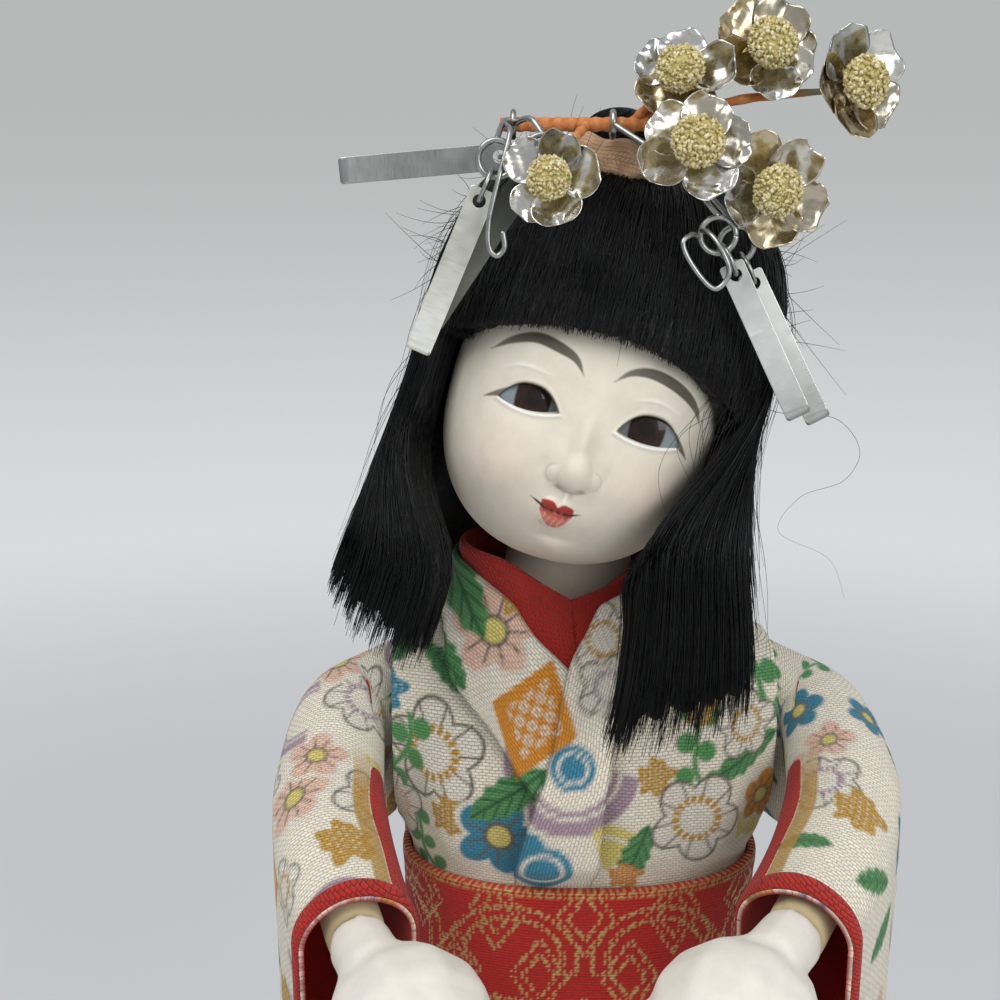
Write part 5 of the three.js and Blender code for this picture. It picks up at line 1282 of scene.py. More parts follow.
def face_paint(points):
    """Brush work of the face: brows, lid lines and lips, with painted highlights on the lid creases, the
    lower lid rims and the philtrum, and painted shade beside the upper lid lines, round the nose, under it
    and in the parting of the lips.
    """
    look = bpy.context.scene.doll_paint
    x, y, z = np.moveaxis(points, -1, 0)
    colours = np.tile(np.array(look.skin), (len(points), 1))
    near = np.flatnonzero((y < -4) & (np.abs(x) < 19) & (z < 13) & (z > -20))
    px, pz = x[near], z[near]
    paint = colours[near]

    def lay(cover, colour):
        nonlocal paint
        paint = mix(paint, np.array(colour), np.clip(cover, 0, 1)[:, None])

    blush = np.exp(-((np.abs(px) - BLUSH_PLACE[0]) / BLUSH_SPREAD) ** 2
                   - ((pz - BLUSH_PLACE[1]) / BLUSH_SPREAD) ** 2)
    lay(BLUSH_COVER * blush, look.lip_pale)
    for brow in BROWS:
        away, share = curve_place(px, pz, brow)
        width = BROW_HALF * np.sin(np.pi * np.clip(share, 0.02, 0.98)) ** 0.9
        fade = 0.7 + 0.3 * np.sin(np.pi * np.clip(share, 0.03, 0.97)) ** 0.5
        lay(np.clip(0.5 + (width - away) / BRUSH_SOFT, 0, 1) * BROW_COVER * fade, look.brow)
    # Painted highlight: a pale line along each lid crease, over its raised ridge.
    for crease in CREASES:
        away, share = curve_place(px, pz, crease)
        lay(CREASE_COVER * np.exp(-(away / CREASE_HALF) ** 2) * np.sin(np.pi * share), CREASE_HIGHLIGHT)
    inside = eye_opening(px, pz)
    upper = ease(-0.25, 0.35, pz)
    lay(np.exp(-((inside + 0.1) / 0.26) ** 2) * upper * 0.97, look.lash)
    # Painted shade: a faint wide band beside the painted lid line, for the shade of the upper lid. Painted
    # highlight: a pale line along the rim of the lower lid.
    lay(np.exp(-((inside + 0.4) / 0.3) ** 2) * upper * 0.2, look.brow)
    lay(np.exp(-((inside + 0.3) / 0.25) ** 2) * (1 - upper) * 0.8, LOWER_LID_HIGHLIGHT)
    for lash in LASHES:
        away, share = curve_place(px, pz, lash, 12)
        lay(np.clip(0.5 + (LASH_HALF - 0.75 * share - away) / BRUSH_SOFT, 0, 1) * 0.85, look.brow)
    u = px - LIPS_MIDDLE
    top = -12.85 - 0.5 * np.exp(-(u / 0.5) ** 2) - 0.2 * (np.abs(u) - 1.15) ** 2 - 0.1 * u
    parting = -14.35 - 0.08 * u + 0.07 * u ** 2
    low = -17.0 + 0.36 * u ** 2
    upper_lip = np.minimum(np.minimum(top - pz, pz - parting), LIPS_HALF - np.abs(u))
    lower_lip = np.minimum(np.minimum(parting - pz, pz - low), LIPS_HALF - np.abs(u))
    lay(0.5 + (lower_lip + 0.3) / 0.4, LIP_RIM)
    lay(0.5 + lower_lip / BRUSH_SOFT, look.lip_pale)
    cracks = np.abs(np.sin(3.4 * u + 0.9 * np.sin(2.2 * pz)))
    lay((0.5 + lower_lip / BRUSH_SOFT) * np.exp(-(cracks / 0.13) ** 2) * 0.6, LIP_CRACK)
    lay((0.5 + lower_lip / BRUSH_SOFT) * np.exp(-((parting - pz) / 0.7) ** 2) * 0.5, look.lip_dark)
    lay(0.5 + upper_lip / BRUSH_SOFT, look.lip_dark)
    for line in MOUTH_LINES:
        away, share = curve_place(px, pz, line)
        lay(0.5 + (0.2 * np.sin(np.pi * np.clip(share, 0.05, 0.95)) - away) / 0.22, MOUTH_DARK)
    # Painted shade: the parting of the lips is painted nearly black, for the shaded gap between them.
    gap = 0.16 + 0.1 * np.sin(6 * u)
    lay((0.5 + (gap - np.abs(pz - parting)) / 0.2) * (np.abs(u) < 1.6), PARTING_SHADE)
    # Painted shade: thin arcs round the nose's wings and soft dark spots at the nostrils.
    for side in (-1, 1):
        wing = np.hypot(px - side * WING_PLACE[0], pz - WING_PLACE[1])
        shade = np.exp(-((wing - WING_RADIUS) / 0.16) ** 2) * ease(-0.2, 0.9, side * px - WING_PLACE[0])
        lay(0.2 * shade, look.brow)
        nostril_shade = np.hypot((px - side * NOSTRIL_PLACE[0]) / NOSTRIL_HALF[0],
                           (pz - NOSTRIL_PLACE[1]) / NOSTRIL_HALF[1])
        lay(0.35 * np.exp(-nostril_shade ** 2), look.brow)
    # Painted shadow under the base of the nose.
    below = pz - NOSE_BASE - 0.12 * px ** 2
    lay(0.4 * np.exp(-(below / 0.25) ** 2) * ease(0, 0.8, 2.6 - np.abs(px)), look.brow)
    # Painted highlight down the ridge of the philtrum.
    away = curve_place(px, pz, PHILTRUM, 8)[0]
    lay(0.8 * np.exp(-(away / 0.22) ** 2), PHILTRUM_HIGHLIGHT)
    colours[near] = paint
    return colours


def in_world(points):
    return points @ HEAD_TURN.T + HEAD_PLACE


def head_grid():
    face = math.radians(60)
    turn = np.concatenate([np.linspace(-face, face, 240, endpoint=False),
                           np.linspace(face, 2 * np.pi - face, 70, endpoint=False)])
    polar = np.concatenate([np.linspace(0.1, 0.95, 18)[:-1], np.linspace(0.95, 2.5, 275)[:-1],
                            np.linspace(2.5, 3.02, 14)])
    turn, polar = np.meshgrid(turn, polar)
    way = np.stack([np.sin(polar) * np.sin(turn), -np.sin(polar) * np.cos(turn), np.cos(polar)], -1)
    points = egg(way)
    x, z = points[..., 0], points[..., 2]
    relief = sum(h * (np.exp(-((x - bx) / sx) ** 2 - ((z - bz) / sz) ** 2)
                      + (np.exp(-((x + bx) / sx) ** 2 - ((z - bz) / sz) ** 2) if bx else 0))
                 for bx, bz, sx, sz, h in FACE_BUMPS)
    for crease in CREASES:
        away, share = curve_place(x, z, crease)
        relief = relief + 0.22 * np.exp(-(away / 0.35) ** 2) * np.sin(np.pi * share)
    total = np.exp(BALL_BLEND * relief)
    for bx, bz, radius, height in FACE_BALLS:
        away = np.hypot(x - bx, z - bz)
        rise = np.sqrt(np.maximum(radius ** 2 - away ** 2, 0))
        ball = height - radius + rise - 3 * np.maximum(away - radius, 0)
        total = total + np.exp(BALL_BLEND * ball)
    relief = np.log(total) / BALL_BLEND
    front = ease(0, 0.5 * FACE_HALF_DEPTH, -points[..., 1])
    inside = eye_opening(x, z)
    rims = 0.3 * np.exp(-((inside + 0.4) / 0.4) ** 2)
    points[..., 1] -= (relief + rims) * front
    points[..., 1] += SOCKET_DEPTH * ease(-0.1, 0.14, inside) * (points[..., 1] < 0)
    return points


def make_head():
    paint = bpy.context.scene.doll_paint
    white = shell_white()
    points = head_grid()
    form = Form()
    colours = face_paint(points.reshape(-1, 3))
    form.add_grid(in_world(points), True, colours)
    heights = np.array((node_box("head_shell")[0][2], NECK_Z, EYE_Z - CHIN_DROP + 2,
                        EYE_Z - CHIN_DROP + 10))
    radii = np.array((NECK_RADIUS + 0.6, NECK_RADIUS, NECK_RADIUS, NECK_RADIUS - 1))
    flares = np.array((NECK_FLARE, NECK_FLARE, 0.5 * NECK_FLARE, 0))
    z = np.linspace(heights[0], heights[-1], 40)
    angle, z = np.meshgrid(full_turn(64), z)
    radius = np.interp(z, heights, radii)
    wide = radius + np.interp(z, heights, flares)
    neck = np.stack([NECK_SHIFT + wide * np.cos(angle), NECK_BACK + radius * np.sin(angle), z], -1)
    # Painted shade: the neck gets the greyer white that stands for the shade under the chin.
    form.add_grid(neck, True, np.array(paint.shade))
    form.make("head_shell_white", [white], "head_shell")
    make_eyes(points)
    for hand in ("left", "right"):
        piece = softened(f"hand_{hand}_white", f"hand_{hand}", white, 0.7, 14)
        layer = piece.data.attributes.new("colour", "FLOAT_COLOR", "POINT")
        tone = np.tile(np.append(linear("#e6e0d5"), 1), len(piece.data.vertices))
        layer.data.foreach_set("color", tone.astype(np.float32))


def make_eyes(face):
    """Glass eyes: shallow domes of the opening's outline, painted with a large brown iris, and with painted
    shade under the upper lid and at the corners.
    """
    look = bpy.context.scene.doll_paint
    glass = eye_glass()
    for hand, eye in EYES.items():
        middle, half, rise, _, corner, iris_x = eye
        s, t = np.meshgrid(np.linspace(-1, 1, 110), np.linspace(0, 1, 56))
        x = middle + s * (half - 0.05)
        _, upper, lower = lids(x, eye)
        z = mix(lower - 0.25, upper + 0.25, t)
        rim = face[(np.abs(face[..., 0] - middle) < 1) & (np.abs(face[..., 2] - corner - rise - 1) < 0.6)
                   & (face[..., 1] < 0)]
        front = rim[:, 1].mean() + 1.3
        away = np.hypot(x - middle, z - 1)
        outer = np.stack([x, front + EYE_DOME - np.sqrt(EYE_DOME ** 2 - away ** 2), z], -1)
        iris = np.hypot((x - iris_x) / IRIS_HALF[0], (z - IRIS_HEIGHT) / IRIS_HALF[1])
        colour = np.broadcast_to(np.array(look.eye_white), (*x.shape, 3))
        # Painted shade: the eye white darkens towards the corners and under the upper lid.
        edge = np.exp(-(1 - np.abs(s)) / 0.1)
        colour = mix(colour, np.array(look.lash),
                     np.clip(0.5 * edge + 0.75 * ease(0.6, 1, t), 0, 1)[..., None])
        fleck = 0.5 + 0.5 * waves(np.stack([x, z], -1), 0.7, 31)
        brown = np.array(look.iris) * (0.8 + 0.4 * fleck + 0.15 * np.clip(iris, 0, 1) ** 3)[..., None]
        colour = mix(colour, brown, np.clip(0.5 + (1 - iris) / 0.12, 0, 1)[..., None])
        pupil = np.hypot(x - iris_x, z - IRIS_HEIGHT)
        colour = mix(colour, np.array(PUPIL_DARK),
                     np.clip(0.5 + (PUPIL_RADIUS - pupil) / 0.9, 0, 0.6)[..., None])
        form = Form()
        form.add_slab(in_world(outer), in_world(outer + (0, 1, 0)), colour=colour)
        form.make(f"eye_{hand}_glass", [glass], f"eye_{hand}")


# Hair


def outer_hair(angle, z):
    """Places on the outside of the combed hair. The crown is full at the sides and slopes at the front."""
    high = np.clip(z / HAIR_TOP, 0, 1)
    sides = (1 - high ** CROWN_FULLNESS) ** (1 / CROWN_FULLNESS)
    slope = np.sqrt(1 - high ** 2)
    down = ease(-5, 45, -z)
    flare = np.where(np.sin(angle) > 0, LOCK_FLARE_LEFT, LOCK_FLARE)
    width = HAIR_HALF_WIDTH * sides + flare * down
    behind = HAIR_BACK * mix(slope, sides, 0.5)
    depth = np.where(np.cos(angle) > 0, HAIR_FRONT * slope, behind) + LOCK_FLARE * down
    place, spread = PRESSED_PLACE, PRESSED_SPREAD
    depth = depth - PRESSED * np.exp(-((angle - place[0]) / spread[0]) ** 2
                                     - ((z - place[1]) / spread[1]) ** 2)
    return np.stack([width * np.sin(angle), -depth * np.cos(angle), z + 0 * angle], -1)


def inner_hair(angle, z):
    way = np.stack([np.sin(angle), -np.cos(angle), 0 * angle], -1)
    reach = np.linalg.norm(egg(way, 3 * GAP), axis=-1)
    level = np.maximum(z, 0) / (SKULL_TOP + 3 * GAP)
    height = np.clip(1 - level ** HEAD_FULLNESS, 0, 1) ** (1 / HEAD_FULLNESS)
    low = np.maximum(HAIR_INNER, reach)
    near = np.where(z > 0, mix(low, reach, ease(0, 6, z)) * height, low)
    beside = way * near[..., None]
    beside[..., 2] = z
    return mix(beside, outer_hair(angle, z) - way * LOCK_THICK, ease(12, 30, -z)[..., None])


def level_cut(height, angle):
    place = outer_hair(angle, np.full_like(angle, LOCK_HEM_RIGHT - 1))
    return (height - EYE_Z + place[..., 0] * math.sin(HEAD_TILT)) / math.cos(HEAD_TILT)


def hem_fringe(angle):
    ends = np.where(angle < 0, *FRINGE_ENDS)
    return mix(FRINGE_MIDDLE, ends, (angle / TEMPLE) ** 2)


def hem_left(angle):
    slant = LOCK_SLANT_LEFT * (1 - ease(TEMPLE, LOCK_TURN_LEFT[0], angle))
    front = level_cut(EYE_Z - LOCK_DROP_LEFT, angle) - slant
    side = level_cut(NECK_Z + COLLAR_STAND + SIDE_RISE, angle)
    return mix(front, side, ease(*LOCK_TURN_LEFT, angle))


def hem_right(angle):
    return LOCK_HEM_RIGHT + LOCK_SLANT * ease(TEMPLE, NAPE_EDGE, -angle)


def hem_back(angle):
    low = level_cut(EYE_Z - BACK_DROP, angle)
    high = level_cut(NECK_Z + COLLAR_STAND + SIDE_RISE, angle)
    side = level_cut(NECK_Z + COLLAR_STAND + BACK_RISE, angle)
    right = mix(low, side, ease(*BACK_RIGHT_TURN, angle))
    return mix(high, right, ease(*BACK_LEFT_TURN, angle))


STRAND_POINTS = 17
CROWN_POINTS = 14
STRAY_POINTS = 26
FUZZ_POINTS = 10
TEMPLE_COUNT = 16
EDGE_SHARE = 0.22
INNER_SHARE = 0.15
# Hair lengths: piece, outer angles, angles beside the face, hem, drawing in, roughness of the cut
LENGTHS = (
    ("hair_fringe", (-TEMPLE, TEMPLE), (-TEMPLE, TEMPLE), hem_fringe, DRAW_NONE, 0.22),
    ("hair_lock_left", (TEMPLE, NAPE_EDGE), (TEMPLE_INNER, NAPE_EDGE), hem_left, DRAW_LEFT, 1.7),
    ("hair_lock_right", (-NAPE_EDGE, -TEMPLE), (-NAPE_EDGE, -TEMPLE_INNER), hem_right, DRAW_RIGHT, 1.5),
    ("hair_back", (NAPE_EDGE, 2 * np.pi - NAPE_EDGE), (NAPE_EDGE, 2 * np.pi - NAPE_EDGE), hem_back,
     DRAW_NONE, 0.6),
)


def drawn_in(angle, z, draw):
    """Angle of hair beside the face, drawn forwards below a height: most turn, start, full height."""
    beside = np.maximum(0, 1 - np.abs(np.abs(angle) - TEMPLE) / (NAPE_EDGE - TEMPLE))
    most, start, full = draw
    return angle - np.sign(angle) * most * beside * ease(start, full, -z)


def hair_place(length, share, z, depth):
    """Places in a length of hair: share of the way across it, height, and depth from outside to inside."""
    _, outer_angles, inner_angles, _, draw, _ = length
    outer_angle = mix(outer_angles[0], outer_angles[1], share)
    inner_angle = mix(inner_angles[0], inner_angles[1], share)
    outside = drawn_in(outer_angle, z, draw)
    inside = drawn_in(mix(inner_angle, outer_angle, ease(6, 24, -z)), z, draw)
    return mix(outer_hair(outside, z), inner_hair(inside, z), depth[..., None])


def hair_shell(form, length):
    """Dark packed hair under the loose strands, between the head and the outer hair."""
    share, v = np.meshgrid(np.linspace(0.012, 0.988, SHELL_COLUMNS), np.linspace(0, 1, 40))
    hem = length[3](mix(length[1][0], length[1][1], share))
    ragged = np.random.default_rng(39).uniform(0.2, 2.4, SHELL_COLUMNS)
    z = mix(PARTING - GAP, hem + 0.4 + ragged * length[5], v)
    outer, inner = (hair_place(length, share, z, np.full_like(z, depth)) for depth in (0.16, 1))
    form.add_slab(in_world(outer), in_world(inner))


def hair_strands(length, count, seed):
    """Strands that start on the crown, fall over it and end in a rough cut, gathered in small tufts."""
    random = np.random.default_rng(seed)
    rough = length[5]
    share = random.uniform(0, 1, count)
    edge = random.uniform(0, 1, count) < EDGE_SHARE
    borders = np.where(random.uniform(0, 1, count) < 0.5, 0.02, 0.98)
    share = np.where(edge, borders + random.uniform(-0.02, 0.02, count), share)
    within = edge | (random.uniform(0, 1, count) < INNER_SHARE)
    deep = random.uniform(0, 0.95, count)
    depth = np.where(within, deep, random.uniform(-0.04, 0.15, count))
    angle = mix(length[1][0], length[1][1], share)
    tuft = np.floor(share * TUFTS) + 0.5
    tuft = (tuft + 0.4 * np.sin(91 * tuft)) / TUFTS
    end = length[3](angle) + random.normal(0, rough, count) + 0.9 * rough * np.sin(tuft * 211)
    t = np.linspace(0, 1, STRAND_POINTS)[None]
    start = HAIR_TOP * random.uniform(0.55, 0.96, (count, 1))
    start = np.where(depth[:, None] > 0.2, PARTING - 1, start)
    z = mix(start, end[:, None], t ** mix(1.0, 1.5, random.uniform(0, 1, (count, 1))))
    sway = random.normal(0, 0.008, (count, 1)) * np.sin(4 * t + random.uniform(0, 6, (count, 1)))
    across = mix(share[:, None], tuft[:, None], 0.5 * ease(0.4, 1, t)) + sway * (0.3 + 2 * t)
    below = ease(0, 8, PARTING + 4 - z)
    points = hair_place(length, np.clip(across, 0, 1), z, depth[:, None] * below)
    lift = random.normal(0, 0.16, (count, 1)) * np.sin(6 * t + random.uniform(0, 6, (count, 1)))
    return points + unit(points * (1, 1, 0.3)) * (lift + 0.05)[..., None]


def crown_strands(count, seed):
    """Strands over the crown, from round the topknot down to the lengths."""
    random = np.random.default_rng(seed)
    t = np.linspace(0, 1, CROWN_POINTS)[None]
    angle = random.uniform(-np.pi, np.pi, (count, 1)) + random.normal(0, 0.04, (count, 1)) * np.sin(4 * t)
    steep = mix(random.uniform(0.06, 0.5, (count, 1)), 1, t)
    z = HAIR_TOP * np.cos(steep * np.arccos((PARTING - 2) / HAIR_TOP))
    points = outer_hair(angle, z)
    lift = random.uniform(-0.35, 0.2, (count, 1))
    lift = lift + random.normal(0, 0.2, (count, 1)) * np.sin(5 * t + angle)
    return points + unit(points) * lift[..., None]


def fuzz_strands(count, seed):
    """Short rough hairs that stand out of the crown."""
    random = np.random.default_rng(seed)
    t = np.linspace(0, 1, FUZZ_POINTS)[None, :, None]
    angle = random.uniform(-2.4, 2.4, count)
    z = HAIR_TOP * random.uniform(0.42, 0.99, count)
    root = outer_hair(angle, z)
    out = unit(root * (1, 1, 0.6))
    down = np.array((0, 0, -1.0))
    way = unit(out * random.uniform(0.2, 0.9, (count, 1)) + down * random.uniform(-0.1, 1, (count, 1))
               + random.normal(0, 0.45, (count, 3)))
    curl = random.normal(0, 0.3, (count, 3))
    length = random.uniform(3, 9, (count, 1))
    return root[:, None] + (way * length)[:, None] * t + (curl * length)[:, None] * t ** 2


def temple_strands(seed):
    """A few loose hairs that fall over the temple and the cheek."""
    random = np.random.default_rng(seed)
    count = TEMPLE_COUNT
    t = np.linspace(0, 1, STRAY_POINTS)[None]
    angle = random.uniform(0.6, 0.86, (count, 1))
    angle = angle - random.uniform(0.02, 0.16, (count, 1)) * np.sin(np.pi * t)
    angle = angle + random.normal(0, 0.03, (count, 1)) * np.sin(7 * t + random.uniform(0, 6, (count, 1)))
    z = mix(random.uniform(5, 12, (count, 1)), random.uniform(-24, -6, (count, 1)), t)
    points = outer_hair(angle, z)
    return points + unit(points * (1, 1, 0)) * random.uniform(-0.8, 1, (count, 1))[..., None]


# One long loose hair beside the doll's left shoulder
LOOSE_CURL = ((24, -8, 252), (29.6, -8, 247.2), (40.7, -8, 245.6), (44.5, -8, 240.3), (42.3, -8, 235.7),
              (35.1, -8, 232.8), (31.7, -8, 227.3), (40.5, -8, 222.2), (43.4, -8, 215.3))


def stray_strands(count, seed):
    """Loose hairs that stand off the outline and curl at their ends."""
    random = np.random.default_rng(seed)
    t = np.linspace(0, 1, STRAY_POINTS)[None]
    angle = (random.uniform(1.1, 2.4, count) * random.choice((-1, 1), count))[:, None]
    high = random.uniform(-6, 34, (count, 1))
    low = high - random.uniform(14, 34, (count, 1))
    z = mix(high, low, t)
    lift = random.uniform(0.3, 2.6, (count, 1)) * np.sin(np.pi * t ** 0.8)
    lift = lift + random.uniform(0, 1.8, (count, 1)) * t ** 3
    bend = random.normal(0, 0.05, (count, 1)) * np.sin(4 * t + random.uniform(0, 6, (count, 1)))
    points = outer_hair(angle + bend, z)
    return points + unit(points * (1, 1, 0.2)) * lift[..., None]


def clear_of_strips(strands):
    """Those strands, in world places, that leave the hanging strips room to swing."""
    free = np.full(len(strands), True)
    for letter in STRIPS:
        low, high = node_box(f"strip_{letter}")
        inside = (strands > low - STRIP_ROOM) & (strands < high + STRIP_ROOM)
        free &= ~inside.all(-1).any(-1)
    return strands[free]


def make_hair():
    look = bpy.context.scene.doll_hair
    silk = silk_hair()
    radius = look.thickness / MM
    for seed, length in enumerate(LENGTHS, 40):
        form = Form()
        hair_shell(form, length)
        form.add_strands(in_world(hair_strands(length, look.strands, seed)), radius)
        form.make(f"{length[0]}_silk", [silk], length[0], mend=False)
    form = Form()
    z = np.concatenate([np.linspace(PARTING, HAIR_TOP * 0.985, 40), [HAIR_TOP * 0.999]])
    angle, z = np.meshgrid(full_turn(120), z)
    form.add_grid(in_world(outer_hair(angle, z) * (0.98, 0.98, 0.985)), True)
    form.add_strands(in_world(crown_strands(look.strands, 50)), radius)
    form.add_strands(clear_of_strips(in_world(stray_strands(look.strays, 51))), 0.55 * radius)
    form.add_strands(clear_of_strips(in_world(fuzz_strands(4 * look.strays, 52))), 0.6 * radius)
    form.add_strands(in_world(temple_strands(53)), 0.5 * radius)
    form.add_strands(smooth_path(LOOSE_CURL, 60)[None], 0.5 * radius)
    form.make("hair_crown_silk", [silk], "hair_crown", mend=False)
    make_topknot(silk, radius)


def make_topknot(silk, radius):
    """A small bun of wound hair with a crinkled cloth round its foot."""
    random = np.random.default_rng(60)
    rise = KNOT_HEIGHT + 4
    t, angle = np.meshgrid(np.linspace(0, 1, 40), full_turn(KNOT_STRANDS))
    twist = angle + 1.6 * t + random.normal(0, 0.05, (KNOT_STRANDS, 1))
    profile = KNOT_RADIUS * np.where(t < 0.6, 1, np.sqrt(np.clip(1 - ((t - 0.6) / 0.41) ** 2, 0, 1)))
    profile = profile - random.uniform(0, 0.5, (KNOT_STRANDS, 1))
    bun = np.stack([KNOT_SIDE + profile * np.cos(twist), profile * np.sin(twist), KNOT_FOOT + rise * t], -1)
    form = Form()
    core = np.stack([KNOT_SIDE + 0.94 * (bun[..., 0] - KNOT_SIDE), 0.94 * bun[..., 1], bun[..., 2]], -1)
    form.add_grid(in_world(np.swapaxes(core, 0, 1)), True)
    form.add_strands(in_world(bun), radius * 1.3)
    form.make("topknot_silk", [silk], "topknot", mend=False)
    peach = woven_cloth("crinkled peach gauze", 0.7, 0.7, tuple(bpy.context.scene.doll_cloth.peach),
                        depth=0.2, dark=0.7)
    angle, v = np.meshgrid(full_turn(260), np.linspace(0, 1, 60))
    crinkle = waves(np.stack([angle * 9, 6 * v], -1), 3.2, 61) * 0.42
    bulge = np.sin(np.pi * v) ** 0.5

    def wrap(inset):
        r = KNOT_RADIUS + GAP + 0.2 + (1.9 * bulge + crinkle * bulge) * (1 if inset == 0 else 0.1)
        z = KNOT_FOOT + 1 + 7 * v + 0.4 * np.sin(7 * angle) * v
        return np.stack([KNOT_SIDE + r * np.cos(angle), r * np.sin(angle), z], -1)

    outer = wrap(0)
    form = Form()
    form.add_slab(in_world(outer), in_world(wrap(1)), True, cloth=along_cloth(outer))
    piece = form.make("knot_cloth_gauze", [peach], "knot_cloth")


# Hair ornament


def above_eyes(place):
    return np.array(place, float) + (0, 0, EYE_Z)


def bar_y():
    middle = in_world(np.array((KNOT_SIDE, 0, KNOT_FOOT + 0.5 * KNOT_HEIGHT)))
    return middle[1] - (KNOT_RADIUS + GAP + 2.2) - GAP - BAR_RADIUS


def flower_axes(look):
    """Turn of a flower from its own frame, where it looks along +Z."""
    facing = Vector((0, 0, 1)).rotation_difference(Vector(look).normalized())
    return np.array(facing.to_matrix())


PETAL_SPAN = (0.9, 7.4)
PETAL_HALF = (3.7, 4.7)
PETAL_GRID = 30
FOIL_HALF = 0.07
PETAL_TINTS = ("#e6e8ea", "#cfd1d2", "#c6b99c", "#b9bbbb", "#f0f1f1")
GRIT_TONES = ("#e2d49f", "#d2c287", "#efe4bb", "#c2b173")


def make_flowers():
    metal = foil("crumpled silver foil")
    grit = painted_grain("raw sugar grit", 2400, {"Roughness": 0.75, "Specular IOR Level": 0.35}, 0.1)
    random = np.random.default_rng(70)
    for number, (middle, look, size) in enumerate(FLOWERS, 1):
        axes, place = flower_axes(look), above_eyes(middle)
        form = Form()
        for k in range(PETALS):
            form_petal(form, random, 2 * np.pi * k / PETALS, axes, place, size)
        hub = [(0, 0, -1.2 * size), (0, 0, 0.3 * size)]
        form.add_tube(np.array(hub) @ axes.T + place, 1.6 * size, 16, linear("#8d8f8f"))
        form.make(f"flower_{number}_foil", [metal], f"flower_{number}_petals")
        form = Form()
        form_grit(form, random, axes, place, size)
        form.make(f"flower_{number}_grit", [grit], f"flower_{number}_centre", mend=False)


def form_petal(form, random, turn, axes, place, size):
    """A cupped disc of foil, crumpled and curled at its rim."""
    v, u = np.meshgrid(np.linspace(0, 1, PETAL_GRID), np.linspace(-1, 1, PETAL_GRID), indexing="ij")
    along = mix(*PETAL_SPAN, v)
    outline = np.sqrt(np.clip(1 - (2 * v - 1.12) ** 2, 0.08, 1))
    across = random.uniform(*PETAL_HALF) * outline * u
    along = along * random.uniform(0.98, 1.22)
    turn = turn + random.uniform(-0.2, 0.2)
    tilt = random.uniform(0.4, 2.2)
    cup = 1.5 * tilt * (v ** 2 + 0.5 * u ** 2 * outline)
    seed = int(random.integers(1e6))
    sheet = np.stack([along, across], -1)
    crumple = 0.36 * waves(sheet, 4.2, seed) + 0.04 * waves(sheet, 1.4, seed + 1)
    rim = np.maximum(v ** 4, np.abs(u) ** 4)
    top = np.stack([along, across, cup + 0.4 + crumple * (0.35 + rim)], -1)
    c, s = math.cos(turn), math.sin(turn)
    swing = np.array(((c, -s, 0), (s, c, 0), (0, 0, 1)))
    tint = np.array(linear(PETAL_TINTS[random.integers(len(PETAL_TINTS))]))
    inside = np.array(linear("#bfae8a"))
    outer, inner = (((top + lift) * size) @ swing.T @ axes.T + place
                    for lift in ((0, 0, FOIL_HALF), (0, 0, -FOIL_HALF)))
    form.add_slab(outer, inner, colour=mix(tint, inside, random.uniform(0, 0.7)), inner_colour=tint)


def form_grit(form, random, axes, place, size):
    """A ball rolled in coarse grit: a dark core under hundreds of small broken grains."""
    angle, polar = np.meshgrid(full_turn(40),
                               np.linspace(0.02, np.pi - 0.02, 24))
    way = np.stack([np.sin(polar) * np.cos(angle), np.sin(polar) * np.sin(angle), np.cos(polar)], -1)
    sizes = np.array((GRIT_RADIUS, GRIT_RADIUS, 0.5 * GRIT_HEIGHT))
    middle = np.array((0, 0, GRIT_LIFT + 0.5 * GRIT_HEIGHT))
    form.add_grid(((way * (sizes - 0.35) + middle) * size) @ axes.T + place, True, linear(GRIT_TONES[3]))
    spots = unit(random.normal(size=(GRAINS, 3)))
    centres = spots * (sizes - 0.15 + random.uniform(-0.15, 0.2, (GRAINS, 1))) + middle
    corners = np.array([(1, 0, 0), (-1, 0, 0), (0, 1, 0), (0, -1, 0), (0, 0, 1), (0, 0, -1)], float)
    chunk = corners[None] * random.uniform(0.22, 0.52, (GRAINS, 6, 1))
    chunk = chunk + random.normal(0, 0.06, (GRAINS, 6, 3))
    faces = np.array([(0, 2, 4), (2, 1, 4), (1, 3, 4), (3, 0, 4), (2, 0, 5), (1, 2, 5), (3, 1, 5),
                      (0, 3, 5)])
    every = (np.arange(GRAINS)[:, None, None] * 6 + faces[None]).reshape(-1, 3)
    tones = np.array([linear(code) for code in GRIT_TONES])[random.integers(0, 4, GRAINS)]
    points = ((centres[:, None] + chunk) * size) @ axes.T + place
    form.add(points, every, np.repeat(tones, 6, 0))


